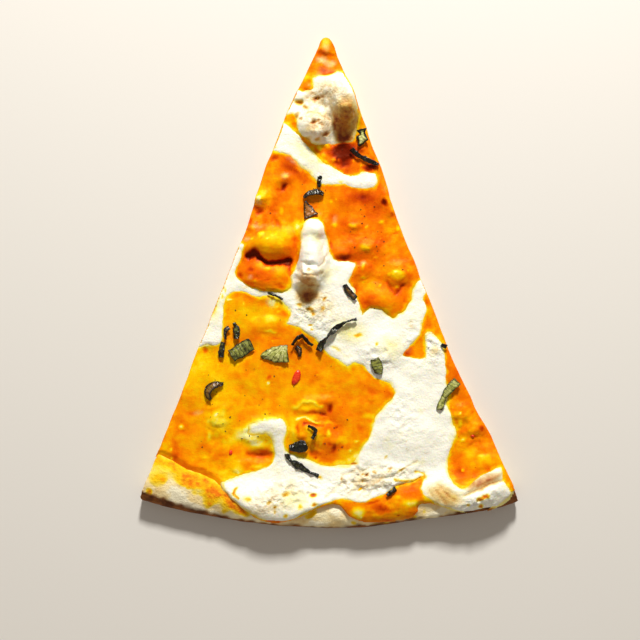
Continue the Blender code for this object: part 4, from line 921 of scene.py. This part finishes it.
def make_cheese(name, node):
    piece = cut_from_skin(name, node)
    smooth(piece, 8, region(points_of(piece), CORNER_LIP) > 0.3)
    points = points_of(piece)
    spread = loose(points)
    distance = painted(piece, "shore")
    fold, porous, crumpled = folds(points), region(points, POROUS), region(points, CRUMPLED)
    fibres = wrinkles(points, 35, 12, 2.4, 11)
    pores = 0.6 * curds(spread, 2.6, 5) + 0.4 * curds(spread, 1.5, 6)
    ridges = 0.6 - np.abs(ripple(points, 3.2, 14)) - 0.7 * np.abs(ripple(points, 1.7, 15))
    relief = cheese_sums(spread, 0) - FOLD_DEPTH * fold - FIBRE_DEPTH * fibres
    relief += PORE_DEPTH * porous * (pores - 0.3) + RIDGE_HEIGHT * crumpled * ridges
    shoulder = 0.5 * np.clip(distance, -MARGIN, 0) + 0.14 * np.clip(distance, 0, 1.6)
    lift = shoulder + ripples(points, (0.1, 2.6, 7)) + step(-0.2, 1.4, distance) * relief
    points[:, 2] += lift + region(points, RAISED_LIP) * step(-0.4, 0.9, distance)
    put_points(piece, points)
    paint(piece, "porous", porous * (1 - pores))
    paint(piece, "crumpled", crumpled)
    paint(piece, "fold", np.clip(fold + 0.12 * fibres, 0, 1))
    paint(piece, "stain", np.clip(cheese_sums(spread, 1), 0, 1))
    paint(piece, "toast_and_shade", np.clip(cheese_sums(spread, 2), 0, 1.1))
    paint(piece, "fringe", fringe_width(points))
    modify(piece, "SOLIDIFY", thickness=CHEESE_THICKNESS * MM, offset=-1)
    select_only(piece)
    bpy.ops.object.shade_smooth()
    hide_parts(node)
    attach(piece, "root")
    print(name, "has", len(piece.data.vertices), "points")
    return piece


cheeses = [
    make_cheese("cheese_tip_bubble", "mozzarella_tip"),
    make_cheese("cheese_band", "mozzarella_band"),
    make_cheese("cheese_pool", "mozzarella_pool"),
]
bpy.data.objects.remove(skin)

# %% [markdown]
# ## Dough
#
# The rim is bare: floured and torn along its crown, stained by the sauce along its foot, and toasted on its
# outer wall, whose brown is partly painted shade. A painted shadow lies on the rim along the lip of the
# cheese. The cut sides show the crumb, and the underside is baked on a hot deck. What belongs to the rim is
# found by its distance from the pie's middle.

# %% Dough relief
dough = fine_copy("dough", ("crust",), cell=0.85, eased=6)
dough_points = points_of(dough)
dough_normals = normals_of(dough)
reach = np.hypot(dough_points[:, 0], dough_points[:, 1] - PIE_MIDDLE_Y)
side = step(0.75, 0.35, np.abs(dough_normals[:, 2])) * (reach < PIE_RADIUS - 6)
outer = step(PIE_RADIUS - 5, PIE_RADIUS - 2, reach)
crumb = ripples(dough_points, (0.5, 1.8, 11), (0.5, 3.6, 12))
puff = ripples(dough_points, (0.4, 7, 13), (0.22, 2.4, 14), (0.1, 1.2, 15))
on_top = step(0.2, 0.8, dough_normals[:, 2])
rim_band = step(PIE_RADIUS - 24, PIE_RADIUS - 14, reach)
swell = side * (0.45 * crumb - 0.15) + on_top * rim_band * np.abs(puff) + outer * 0.4 * puff
dough_points += dough_normals * swell[:, None]
# the bare rim under the fan of cheese is higher
RAISED_RIM = [(54, -109, 17, 5, 8, 1.6)]
dough_points[:, 2] += on_top * (rim_fill(dough_points) + dabs(dough_points, RAISED_RIM))
dough_points[:, 2] = np.maximum(dough_points[:, 2], 0)
put_points(dough, dough_points)
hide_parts("crust")
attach(dough, "root")
print("dough swells from", swell.min().round(2), "to", swell.max().round(2), "mm")

# %% Dough paint
# x, y, half length, half width, turn, amount: yellow at 0.5 and orange at 0.9
RIM_STAINS = [
    (-79, -91, 7, 5, -10, 0.62), (-75.5, -91.6, 2.4, 1.9, 0, 0.35), (-64, -92.8, 8.4, 2.6, -16, 0.65),
    (-83, -97, 2.8, 3.6, 20, 0.95), (-61, -97.6, 3.4, 2.8, 0, 0.3), (-54.6, -99, 6, 6.8, -20, 0.75),
    (-54, -102.6, 3.6, 2.2, 0, 0.3), (-46.6, -103, 5, 6, -30, 0.3), (-47, -106, 2.8, 1.8, 0, 0.3),
    (-40.5, -105, 5, 3.4, -25, 0.25), (-52, -97.4, 3.6, 1.6, -20, 0.4), (-7.6, -107, 5.4, 2.8, 25, 0.75),
    (50, -101, 6.6, 2, -10, 0.62), (45, -105, 2.2, 2.4, 0, 0.35), (85.5, -99.5, 3.6, 3.6, 0, 0.75),
    (82.4, -92, 2.4, 6, 15, 0.85), (39, -109, 4, 2, 0, 0.6), (12, -111, 3, 2, 0, 0.5),
    (26, -112, 8, 2, 0, 0.6),
]
# the same columns, and amount of flour
FLOUR = [
    (-70, -97, 9.4, 4.6, -14, 1.0), (-80, -100.4, 6, 2.2, -8, 0.9), (-66, -102, 13, 2.8, -14, 1.0),
    (-59, -104.5, 4.4, 2.2, 0, 0.8), (-52, -106.6, 4.6, 1.6, -15, 0.9), (4, -105.4, 5, 5, 0, 0.9),
    (-5, -111.6, 11, 2.4, 5, 0.9), (52, -106, 11, 3.2, 8, 1.0), (79, -104, 6, 2, 8, 0.5),
    (72, -106, 8, 1.6, 6, 0.4), (-86, -100, 1.6, 1.6, 0, 0.9),
]
# a line of points, its half width, and how dark the painted shadow along it is, below the cheese's lip
SHADED = [
    ([(-50, -95), (-45, -99.2), (-40, -103.8), (-36, -107), (-31, -109.6)], 1.1, 0.4),
    ([(-22, -110), (-12, -108.4), (-6, -105.2), (-1, -102), (3, -100)], 1.4, 0.18),
]
# x, y, half length, half width, turn, and how much farther up the toasted wall reaches, whose brown is
# partly painted shade
WALL_WIDTH = [
    (78, -105, 9, 5, 8, 1.2), (54, -108, 16, 5, 8, -1.8), (0, -113, 16, 5, 0, -1.0),
    (30, -113, 16, 4, 0, 0.4),
]
OILED = [(-82, -84), (-76, -87), (-66, -91), (-58, -94), (-52, -98), (-46, -101.6), (-41, -105)]
spread = loose(dough_points)
shaded = sum(amount * stroke(spread, line, width) for line, width, amount in SHADED)
wall_edge = dabs(spread, WALL_WIDTH) + ripples(dough_points, (1.1, 2.2, 16))
wall = step(-1.1, 0.9, reach - PIE_RADIUS + 1.7 + wall_edge) * (reach > PIE_RADIUS - 8)
# the painted shadow below the cheese's lip goes into the wall's mask
wall = np.maximum(wall, 0.8 * shaded * on_top)
paint(dough, "cut", side)
paint(dough, "wall", wall)
oiled = dabs(spread, RIM_STAINS) + 0.4 * stroke(spread, OILED, 5.5) + 0.75 * stroke(spread, RIM_EDGE, 4.4)
paint(dough, "stain", np.clip(oiled * on_top, 0, 1))
paint(dough, "flour", np.clip(dabs(spread, FLOUR) * on_top, 0, 1))

# %% [markdown]
# ## Basil
#
# Each shred is its own solid, subdivided until it bends smoothly and then crumpled. In the oven the shreds
# dry nearly black along their edges and folds, while flat bits of blade stay olive green with darker veins.
# So each shred stores how near a point is to its torn edge, how green it stayed and how brightly lit it is
# painted, and where its veins run.

# %% Leaves
# how green each shred stayed and how brightly lit it is painted, how amber it turned,
# and how much paler its middle is
GREEN_AND_LIT = {
    "fan": 0.84, "left_square": 0.55, "right_square": 0.68, "right_long": 0.74, "sliver": 0.4, "centre": 0.22,
    "left_curl": 0.4, "curl_top": 0.25, "left_fleck": 0.3, "arch": 0.42, "twist": 0.28, "rosette_tail": 0.26,
}
OTHERS_GREEN_AND_LIT = 0.15
AMBER = {"ribbon_tail": 0.8, "arch_inner": 0.5, "left_bridge": 0.3, "sunk_left": 0.35, "centre": 0.3}
PALE_CORE = {"curl_top": 0.75, "arch": 0.3, "right_long": 0.1, "sunk_left": 0.3}
# the fan's veins spread from one place, this many radians apart, and the other shreds' run side by side
FAN_APEX, FAN_VEIN = (-19.6, -27.6), 0.3
VEIN_SPACING = 1.5
UPRIGHT = 0.5


def make_leaf(node):
    kind = node.removeprefix("basil_")
    piece = merged_copy("leaf_" + kind, node)
    modify(piece, "SUBSURF", levels=2, render_levels=2, subdivision_type="SIMPLE")
    smooth(piece, 1)
    points, normals = points_of(piece), normals_of(piece)
    rim = points[np.abs(normals[:, 2]) < UPRIGHT][:, :2]
    to_edge = np.array([np.hypot(*(rim - point[:2]).T).min() for point in points])
    centre = points.mean(axis=0)
    along = (points - centre) @ np.linalg.svd(points - centre, full_matrices=False)[2][0]
    if kind == "fan":
        along = VEIN_SPACING * np.arctan2(FAN_APEX[1] - points[:, 1], FAN_APEX[0] - points[:, 0]) / FAN_VEIN
    points[:, 2] += np.abs(ripples(points, (0.6, 2.2, 21), (0.35, 1.1, 22)))
    for axis in (0, 1):
        points[:, axis] += ripples(points, (0.3, 1.9, 23 + axis), (0.22, 0.9, 25 + axis))
    put_points(piece, points)
    paint(piece, "edge", step(0.8, 0.1, to_edge))
    paint(piece, "vein", along / VEIN_SPACING)
    paint(piece, "green", GREEN_AND_LIT.get(kind, OTHERS_GREEN_AND_LIT) + PALE_CORE.get(kind, 0) * step(0.5, 1.1, to_edge))
    paint(piece, "amber", AMBER.get(kind, 0) * step(0.3, 1.2, to_edge))
    select_only(piece)
    bpy.ops.object.shade_smooth()
    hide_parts(node)
    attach(piece, "root")
    return piece


leaves = [make_leaf(node) for node in LEAVES]
print("leaves:", len(leaves))

# %% [markdown]
# ## Materials
#
# The helpers below wire shader nodes. Patterns are measured in object space, so a size in millimetres
# becomes a noise scale of 1000 divided by it.


# %% Wiring helpers
def feed(tree, socket, value):
    """Links a socket's value in, or sets it."""
    if isinstance(value, bpy.types.NodeSocket):
        tree.links.new(value, socket)
    else:
        socket.default_value = value


def put(tree, kind, settings=None, **wires):
    """Adds a shader node, sets its settings, and sets or links its inputs by name or, as i0, i1, by place."""
    node = tree.nodes.new("ShaderNode" + kind)
    for key, value in (settings or {}).items():
        setattr(node, key, value)
    for key, value in wires.items():
        feed(tree, node.inputs[int(key[1:]) if key[1:].isdigit() else key.replace("_", " ")], value)
    return node


def sums(tree, operation, a, b=0.0, clamp=False):
    return put(tree, "Math", {"operation": operation, "use_clamp": clamp}, i0=a, i1=b).outputs[0]


def times(tree, a, b):
    return sums(tree, "MULTIPLY", a, b)


def plus(tree, a, b, share=None, clamp=False):
    """A and b added, or a and this share of b."""
    return sums(tree, "ADD", a, b if share is None else times(tree, b, share), clamp)


def span(tree, value, low, high, least=0.0, most=1.0):
    """Least below low and most above high, smoothly in between."""
    node = put(tree, "MapRange", {"interpolation_type": "SMOOTHSTEP"}, Value=value, From_Min=low,
               From_Max=high, To_Min=least, To_Max=most)
    return node.outputs["Result"]


def blend(tree, factor, a, b):
    return put(tree, "Mix", {"data_type": "RGBA", "clamp_factor": True}, i0=factor, i6=a, i7=b).outputs[2]


def mask(tree, name):
    return put(tree, "Attribute", {"attribute_name": name}).outputs["Fac"]


def grain(tree, size_mm, detail=2.0, distortion=0.0):
    """Object space noise from 0 to 1 whose blots are about this many millimetres wide."""
    place = put(tree, "TexCoord").outputs["Object"]
    node = put(tree, "TexNoise", Vector=place, Scale=1000 / size_mm, Detail=detail, Distortion=distortion)
    return node.outputs["Fac"]


USUAL_SPREAD = 2.2


def uneven(tree, size_mm, amount, detail=3.0):
    """The same noise about zero, with this much between its usual extremes."""
    return times(tree, plus(tree, grain(tree, size_mm, detail), -0.5), USUAL_SPREAD * amount)


def roughened(tree, value, size_mm, amount):
    """A painted mask whose soft edges are broken up, and which stays zero where nothing was painted."""
    return times(tree, value, plus(tree, 1.0, uneven(tree, size_mm, amount)))


# %% Colours, groups and materials
def colour(*rgb):
    """A colour picked in 0 to 255 steps, as the linear values a shader takes."""
    shares = [value / 255 for value in rgb]
    return (*[c / 12.92 if c <= 0.04045 else ((c + 0.055) / 1.055) ** 2.4 for c in shares], 1)


def ramp(tree, value, stops):
    """The colours of these stops, each (place from 0 to 1, red, green, blue)."""
    node = put(tree, "ValToRGB", Fac=value)
    node.color_ramp.interpolation = "LINEAR"
    while len(node.color_ramp.elements) < len(stops):
        node.color_ramp.elements.new(0.5)
    for element, (place, *rgb) in zip(node.color_ramp.elements, stops):
        element.position = place
        element.color = colour(*rgb)
    return node.outputs["Color"]


def new_group(name, gives, **given):
    """An empty node group that gives one number and is given these, each with its default."""
    tree = bpy.data.node_groups.new(name, "ShaderNodeTree")
    for key, default in given.items():
        socket = tree.interface.new_socket(key.replace("_", " "), socket_type="NodeSocketFloat")
        socket.default_value = default
    tree.interface.new_socket(gives, in_out="OUTPUT", socket_type="NodeSocketFloat")
    return tree, tree.nodes.new("NodeGroupInput").outputs, tree.nodes.new("NodeGroupOutput").inputs[gives]


def use(tree, group, **wires):
    """What a node group gives, when it is placed in this tree and fed these values."""
    node = tree.nodes.new("ShaderNodeGroup")
    node.node_tree = group
    for key, value in wires.items():
        feed(tree, node.inputs[key.replace("_", " ")], value)
    return node.outputs[0]


def new_material(name, **constants):
    """A material, its tree and its shader, with these inputs of the shader set."""
    material = bpy.data.materials.new(name)
    material.use_nodes = True
    tree = material.node_tree
    shader = tree.nodes["Principled BSDF"]
    for key, value in constants.items():
        shader.inputs[key.replace("_", " ")].default_value = value
    return material, tree, shader


def finish(tree, shader, base, roughness, height, strength, distance_mm):
    """Links the colour, the roughness and a Bump of this height to the shader."""
    tree.links.new(base, shader.inputs["Base Color"])
    tree.links.new(roughness, shader.inputs["Roughness"])
    bump = put(tree, "Bump", Strength=strength, Distance=distance_mm * MM, Height=height)
    tree.links.new(bump.outputs["Normal"], shader.inputs["Normal"])


def dress(piece, material):
    piece.data.materials.clear()
    piece.data.materials.append(material)


# %% Node groups shared by the foods
def specks_group():
    """Scattered round specks: 1 inside a speck. Density is the share of cells that hold one."""
    tree, given, gives = new_group("specks", "Mask", Size_mm=1.0, Density=0.3, Fill=0.3)
    place = put(tree, "TexCoord").outputs["Object"]
    scale = sums(tree, "DIVIDE", 1000.0, given["Size mm"])
    warp = put(tree, "TexNoise", Vector=place, Scale=900.0).outputs["Color"]
    moved = put(tree, "VectorMath", {"operation": "SCALE"}, i0=warp, Scale=0.8 * MM).outputs[0]
    place = put(tree, "VectorMath", {"operation": "ADD"}, i0=place, i1=moved).outputs[0]
    cells = put(tree, "TexVoronoi", Vector=place, Scale=scale)
    chosen = put(tree, "SeparateColor", i0=cells.outputs["Color"]).outputs[0]
    chosen = sums(tree, "LESS_THAN", chosen, given["Density"])
    soft = times(tree, given["Fill"], 0.6)
    round_part = put(tree, "MapRange", {"interpolation_type": "SMOOTHSTEP"}, Value=cells.outputs["Distance"],
                     From_Min=given["Fill"], From_Max=soft)
    tree.links.new(times(tree, chosen, round_part.outputs["Result"]), gives)
    return tree


def fringe_group():
    """1 at the shore, falling to 0 over a few millimetres, with a ragged front. Sign is 1 on the sauce's side
    and -1 on the cheese's. The fringe is Least wide, and Reach wider where its mask is 1, in millimetres."""
    tree, given, gives = new_group("fringe", "Mask", Sign=1.0, Reach=2.0, Least=0.3)
    away = times(tree, mask(tree, "shore"), given["Sign"])
    width = plus(tree, given["Least"], mask(tree, "fringe"), given["Reach"])
    away = plus(tree, sums(tree, "DIVIDE", away, width), uneven(tree, 2.6, 0.5, 4.0))
    tree.links.new(span(tree, away, -1.0, 0.1), gives)
    return tree


def relief_group():
    """Fine relief for a Bump node: broad, middle and fine noise added together."""
    tree, given, gives = new_group("fine relief", "Height", Broad=1.0, Middle=0.5, Fine=0.25)
    total = times(tree, grain(tree, 3.2, 3.0), given["Broad"])
    total = plus(tree, total, grain(tree, 1.1, 3.0), given["Middle"])
    total = plus(tree, total, grain(tree, 0.4, 2.0), given["Fine"])
    tree.links.new(total, gives)
    return tree


SPECKS, FRINGE_GROUP, RELIEF = specks_group(), fringe_group(), relief_group()

# %% [markdown]
# ### Sauce
#
# Tomato cooked down with cream is a strong orange. It turns yellow where oil and cheese mix in and deep red
# where it pools in a hollow. One colour scale serves all of it: the painted tone picks a place on the
# scale, and unevenness of several sizes moves that place a little up and down. The tone also holds painted
# shade, painted shadows and painted highlights, and the foam mask two more painted highlights. The sauce is
# moist, not wet, so its reflection is weak, and would otherwise veil the colour.

# %% Sauce material
SAUCE_SCALE = [
    (0.0, 108, 20, 1), (0.12, 160, 38, 1), (0.25, 204, 72, 1), (0.38, 232, 104, 1), (0.48, 244, 130, 1),
    (0.56, 250, 152, 1), (0.65, 253, 178, 1), (0.76, 255, 202, 4), (0.88, 255, 224, 50), (1.0, 254, 242, 160),
]


def sauce_material():
    material, tree, shader = new_material(
        "vodka sauce", Specular_IOR_Level=0.12, Specular_Tint=(1, 0.75, 0.4, 1), Subsurface_Weight=0.35,
        Subsurface_Radius=(1.0, 0.45, 0.1), Subsurface_Scale=2.5 * MM)
    tone = plus(tree, 0.5, mask(tree, "tone"), 0.5)
    for size, amount in ((9, 0.05), (2.6, 0.07), (0.9, 0.045)):
        tone = plus(tree, tone, uneven(tree, size, amount))
    fringe = use(tree, FRINGE_GROUP, Sign=1.0, Reach=4.0, Least=0.6)
    curd = use(tree, SPECKS, Size_mm=4.2, Density=0.08, Fill=0.15)
    fleck = use(tree, SPECKS, Size_mm=1.5, Density=0.12, Fill=0.17)
    tone = plus(tree, plus(tree, tone, fringe, 0.26), curd, 0.13)
    tone = plus(tree, tone, fleck, -0.22, clamp=True)
    base = ramp(tree, tone, SAUCE_SCALE)
    # cream foam, and two painted highlights
    base = blend(tree, roughened(tree, mask(tree, "milk_and_highlight"), 1.3, 0.8), base, colour(250, 212, 150))
    roughness = span(tree, grain(tree, 2.5, 3.0), 0.3, 0.7, 0.3, 0.5)
    height = use(tree, RELIEF, Broad=0.5, Middle=0.6, Fine=0.5)
    finish(tree, shader, base, roughness, height, 0.5, 0.4)
    return material


dress(sauce, sauce_material())

# %% [markdown]
# ### Mozzarella
#
# Melted mozzarella is a warm white with a faint sheen. Fat and sauce stain it yellow along its shore and in
# its pits, and its folds and pores are painted darker, as painted shade. Light passes a little way into
# it.

# %% Cheese material
STAIN_SCALE = [
    (0.0, 255, 255, 240), (0.22, 254, 245, 160), (0.38, 251, 212, 40), (0.52, 248, 172, 10),
    (0.66, 232, 120, 10), (0.82, 196, 78, 12), (1.0, 140, 50, 12),
]
TOAST_AND_SHADE_SCALE = [
    (0.0, 255, 255, 255), (0.3, 228, 208, 174), (0.6, 198, 148, 100), (0.85, 168, 98, 54), (1.0, 136, 68, 32),
]


def cheese_material():
    material, tree, shader = new_material(
        "melted mozzarella", Specular_IOR_Level=0.3, Subsurface_Weight=0.25,
        Subsurface_Radius=(1.0, 0.7, 0.4), Subsurface_Scale=1.5 * MM)
    stain = roughened(tree, mask(tree, "stain"), 1.8, 0.5)
    edge = use(tree, FRINGE_GROUP, Sign=-1.0, Reach=2.2, Least=0.2)
    cloudy = span(tree, grain(tree, 6, 4.0), 0.55, 0.8, 0, 0.09)
    stain = plus(tree, plus(tree, stain, edge, 0.26), cloudy, clamp=True)
    toast_and_shade = roughened(tree, mask(tree, "toast_and_shade"), 2.0, 0.5)
    # the bottoms of folds and pores are painted darker: painted shade
    toast_and_shade = plus(tree, toast_and_shade, roughened(tree, mask(tree, "fold"), 1.5, 0.5), 0.24)
    toast_and_shade = plus(tree, toast_and_shade, roughened(tree, mask(tree, "porous"), 1.2, 0.7), 0.28)
    toast_and_shade = plus(tree, toast_and_shade, span(tree, grain(tree, 11, 4.0), 0.5, 0.8, 0, 0.05), clamp=True)
    base = ramp(tree, stain, STAIN_SCALE)
    toasted_and_shaded = ramp(tree, toast_and_shade, TOAST_AND_SHADE_SCALE)
    darkened = {"data_type": "RGBA", "blend_type": "MULTIPLY"}
    base = put(tree, "Mix", darkened, i0=1.0, i6=base, i7=toasted_and_shaded).outputs[2]
    roughness = span(tree, grain(tree, 3.0, 3.0), 0.3, 0.7, 0.42, 0.6)
    crumpled = mask(tree, "crumpled")
    middle = plus(tree, plus(tree, 0.5, mask(tree, "porous")), crumpled)
    height = use(tree, RELIEF, Broad=plus(tree, 0.7, crumpled), Middle=middle, Fine=0.3)
    finish(tree, shader, base, roughness, height, 0.7, 0.6)
    return material


melted = cheese_material()
for piece in cheeses:
    dress(piece, melted)

# %% [markdown]
# ### Baked dough
#
# Flour keeps the rim's crown pale, the sauce's oil turns its foot yellow and orange, the outer wall is
# toasted brown, which is partly painted shade, a painted shadow lies along the cheese's lip, and the
# underside carries dark spots from the oven's deck.


# %% Dough material
def dough_material():
    material, tree, shader = new_material("baked dough", Specular_IOR_Level=0.2)
    up = put(tree, "SeparateXYZ", i0=put(tree, "TexCoord").outputs["Normal"]).outputs[2]
    crust = [(0.35, 255, 244, 200), (0.6, 250, 224, 162), (0.8, 232, 192, 116)]
    base = ramp(tree, plus(tree, grain(tree, 7, 4.0), uneven(tree, 1.8, 0.1)), crust)
    oil = roughened(tree, mask(tree, "stain"), 2.4, 0.5)
    oiled = ramp(tree, oil, [(0.3, 254, 226, 84), (0.6, 254, 204, 6), (0.9, 252, 160, 4), (1.0, 240, 126, 4)])
    base = blend(tree, span(tree, oil, 0.15, 0.4), base, oiled)
    dust = roughened(tree, mask(tree, "flour"), 1.6, 0.8)
    base = blend(tree, span(tree, dust, 0.3, 0.8, 0, 0.9), base, colour(255, 248, 218))
    # the wall's brown is toast and partly painted shade, and it also colours the painted shadow below the lip
    wall = ramp(tree, grain(tree, 4, 3.0), [(0.35, 150, 92, 44), (0.65, 94, 50, 22)])
    base = blend(tree, mask(tree, "wall"), base, wall)
    crumb = ramp(tree, grain(tree, 1.6, 4.0), [(0.35, 226, 196, 140), (0.7, 250, 236, 200)])
    base = blend(tree, mask(tree, "cut"), base, crumb)
    deck = ramp(tree, grain(tree, 3, 4.0), [(0.4, 214, 170, 104), (0.7, 176, 120, 62)])
    deck = blend(tree, span(tree, grain(tree, 9, 5.0, 0.4), 0.52, 0.66), deck, colour(70, 40, 22))
    base = blend(tree, span(tree, times(tree, up, -1.0), 0.4, 0.8), base, deck)
    roughness = span(tree, grain(tree, 3, 3.0), 0.3, 0.7, 0.75, 0.9)
    height = use(tree, RELIEF, Broad=0.7, Middle=0.9, Fine=0.6)
    finish(tree, shader, base, roughness, height, 0.8, 0.5)
    return material


dress(dough, dough_material())


# %% [markdown]
# ### Basil
#
# Dark nearly everywhere, with olive green where the blade stayed flat, and small bright facets that are
# painted highlights. Each shred's lightness is partly its green and partly painted light.


# %% Basil material
# the palest stops give the painted highlights on the bright facets
LEAF_SCALE = [
    (0.1, 8, 9, 5), (0.3, 34, 35, 14), (0.5, 98, 101, 42), (0.75, 156, 160, 72), (0.95, 204, 204, 130),
]


def basil_material():
    material, tree, shader = new_material("basil", Specular_IOR_Level=0.5)
    vein = plus(tree, uneven(tree, 3, 0.8, 1.0), mask(tree, "vein"), math.pi)
    vein = span(tree, sums(tree, "ABSOLUTE", sums(tree, "SINE", vein)), 0.35, 0.0)
    # this unevenness scatters the bright facets, which are painted highlights
    tone = plus(tree, mask(tree, "green"), uneven(tree, 1.6, 0.5, 4.0))
    tone = plus(tree, plus(tree, tone, mask(tree, "edge"), -0.35), vein, -0.4, clamp=True)
    base = ramp(tree, tone, LEAF_SCALE)
    base = blend(tree, roughened(tree, mask(tree, "amber"), 2.0, 0.5), base, colour(170, 104, 28))
    roughness = span(tree, grain(tree, 1.2, 2.0), 0.35, 0.65, 0.2, 0.5)
    height = plus(tree, grain(tree, 0.8, 3.0), vein, -0.6)
    finish(tree, shader, base, roughness, height, 0.8, 0.35)
    return material


leaf_green = basil_material()
for leaf in leaves:
    dress(leaf, leaf_green)

# %% [markdown]
# ## Chilli and pepper
#
# A few flakes of chilli and coarse grains of pepper lie on the sauce. They are real pieces, each a dented
# ball.

# %% Scattered balls
SUNK, DENTS = 0.3, 0.35


def surface_height(piece):
    """A function that gives the piece's upper surface in plan."""
    tree = BVHTree.FromObject(piece, bpy.context.evaluated_depsgraph_get())

    def height(x, y):
        hit = tree.ray_cast(Vector((x * MM, y * MM, HIGH * MM)), DOWN)[0]
        return hit.z / MM if hit else None

    return height


def scatter(name, places, thickness, material):
    """Dented balls, flattened and pressed into the sauce, joined as one piece."""
    height = surface_height(sauce)
    made = []
    for x, y, half_length, half_width, turn in places:
        if height(x, y) is None:
            continue
        bpy.ops.mesh.primitive_ico_sphere_add(subdivisions=2, radius=MM, location=(0, 0, 0))
        ball = bpy.context.object
        points = points_of(ball)
        points *= 1 + DENTS * ripple(points, 1.1, x + y)[:, None]
        points *= (half_length, half_width, thickness)
        a = math.radians(turn)
        spun = points[:, :2] @ np.array([[math.cos(a), math.sin(a)], [-math.sin(a), math.cos(a)]])
        put_points(ball, np.column_stack([spun + (x, y), points[:, 2] + height(x, y) + SUNK * thickness]))
        made.append(ball)
    select_only(*made)
    bpy.ops.object.join()
    piece = bpy.context.object
    piece.name = piece.data.name = name
    bpy.ops.object.shade_smooth()
    dress(piece, material)
    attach(piece, "root")
    return piece


def grain_material(name, specular, light, dark, low, high):
    """A blotchy colour with roughness that varies between low and high."""
    material, tree, shader = new_material(name, Specular_IOR_Level=specular)
    base = ramp(tree, grain(tree, 1.0, 3.0), [(0.35, *light), (0.65, *dark)])
    roughness = span(tree, grain(tree, 0.8, 2.0), 0.3, 0.7, low, high)
    finish(tree, shader, base, roughness, grain(tree, 0.6), 0.4, 0.2)
    return material


# %% Flakes and grains
# x, y, half length, half width, turn
CHILLI = [(-14.5, -43.4, 3.4, 1.9, 65), (-44.8, -78.6, 1.3, 0.8, 70), (67.5, -70.8, 0.8, 0.7, 0)]
COARSE_PEPPER = [
    (22, 35.8), (15.7, 34.5), (17.4, 31.3), (16.2, 28), (23, 17.2), (26.5, 19.5), (12.8, 16.8), (26.4, 8.4),
    (35, 6.5), (22, -11.5), (-26.4, 32.8), (-45, -62), (-28.8, -60.6), (-39.6, -72), (-32, -71),
    (-47.2, -68.6), (-58, -76), (-42.6, -12.4), (-37.4, -14.6), (-24.5, -43), (-1, -74.3), (3.3, -67),
    (7, -76), (9.4, -63.2), (-36, -70.6),
]
FINE_GRAINS = 34
COARSE, FINE, FLATTENED = 0.36, 0.22, 0.8
CLEAR_OF_CHEESE = 2.5
# how fast the slice widens from its tip, and how far in from the cuts the grains lie
TIP_Y, HALF_SLOPE, CLEAR_OF_CUT = 114, 0.38, 4


def inside_cuts(x, y):
    return abs(x) < HALF_SLOPE * (TIP_Y - y) - CLEAR_OF_CUT


def pepper_grain(number, place, size):
    return (*place, size, FLATTENED * size, 70 * number % 180)


tried = CHANCE.uniform((-75, -98, 0), (60, 100, 0), (400, 3))
away, _ = measure_shore(tried)
on_sauce = [(x, y) for (x, y, _), d in zip(tried, away) if d < -CLEAR_OF_CHEESE and inside_cuts(x, y)]
places = [(place, COARSE) for place in COARSE_PEPPER] + [(place, FINE) for place in on_sauce[:FINE_GRAINS]]
PEPPER = [pepper_grain(number, *grain_place) for number, grain_place in enumerate(places)]
chilli_red = grain_material("chilli", 0.5, (244, 74, 14), (214, 34, 6), 0.25, 0.5)
pepper_brown = grain_material("ground pepper", 0.3, (96, 58, 24), (44, 24, 12), 0.6, 0.8)
scatter("chilli_flakes", CHILLI, 0.6, chilli_red)
scatter("pepper_grains", PEPPER, 0.25, pepper_brown)
print("grains of pepper:", len(PEPPER))

# %% [markdown]
# ## Table, light and air
#
# A plain pale floor, and a key light from beyond the tip that stands fairly low, so that every lump throws
# a short shadow towards the rim. The fill and the air are weak and a little warm.

# %% Stage
FLOOR_SIZE, FLOOR_DROP = 6, 0.02 * MM
bpy.ops.object.select_all(action="DESELECT")
bpy.ops.mesh.primitive_plane_add(size=FLOOR_SIZE, location=(0, 0, -FLOOR_DROP))
floor = bpy.context.object
floor.name = "floor"
floor_paint, _, floor_shader = new_material("pale floor", Roughness=0.6, Specular_IOR_Level=0.2)
floor_shader.inputs["Base Color"].default_value = colour(226, 224, 220)
dress(floor, floor_paint)


# %% Lights
def area_light(name, azimuth, elevation, distance, size, power, tint):
    """A square lamp that faces the middle of the slice."""
    a, e = math.radians(azimuth), math.radians(elevation)
    away = Vector((math.sin(a) * math.cos(e), math.cos(a) * math.cos(e), math.sin(e)))
    bpy.ops.object.light_add(type="AREA", location=away * distance)
    light = bpy.context.object
    light.name = name
    light.rotation_euler = away.to_track_quat("Z", "Y").to_euler()
    light.data.size = size
    light.data.energy = power
    light.data.color = tint
    return light


area_light("key", azimuth=5, elevation=34, distance=1.2, size=0.16, power=21.2, tint=(1, 0.965, 0.9))
area_light("fill", azimuth=190, elevation=40, distance=1.4, size=1.4, power=2, tint=(1, 0.86, 0.66))
world = bpy.data.worlds.new("studio air")
bpy.context.scene.world = world
world.use_nodes = True
air = world.node_tree.nodes["Background"].inputs
air["Color"].default_value = (1, 0.9, 0.8, 1)
air["Strength"].default_value = 0.24
bpy.context.scene.view_settings.view_transform = "Standard"

# %% [markdown]
# ## Triangle counts, and the end
#
# The sauce's, the dough's and each cheese's triangles are counted and printed. Relief may only
# stand a little proud of the solids.

# %% Triangle counts, and the end
for piece in (sauce, dough, *cheeses):
    print(piece.name, "triangles:", sum(len(polygon.vertices) - 2 for polygon in piece.data.polygons))
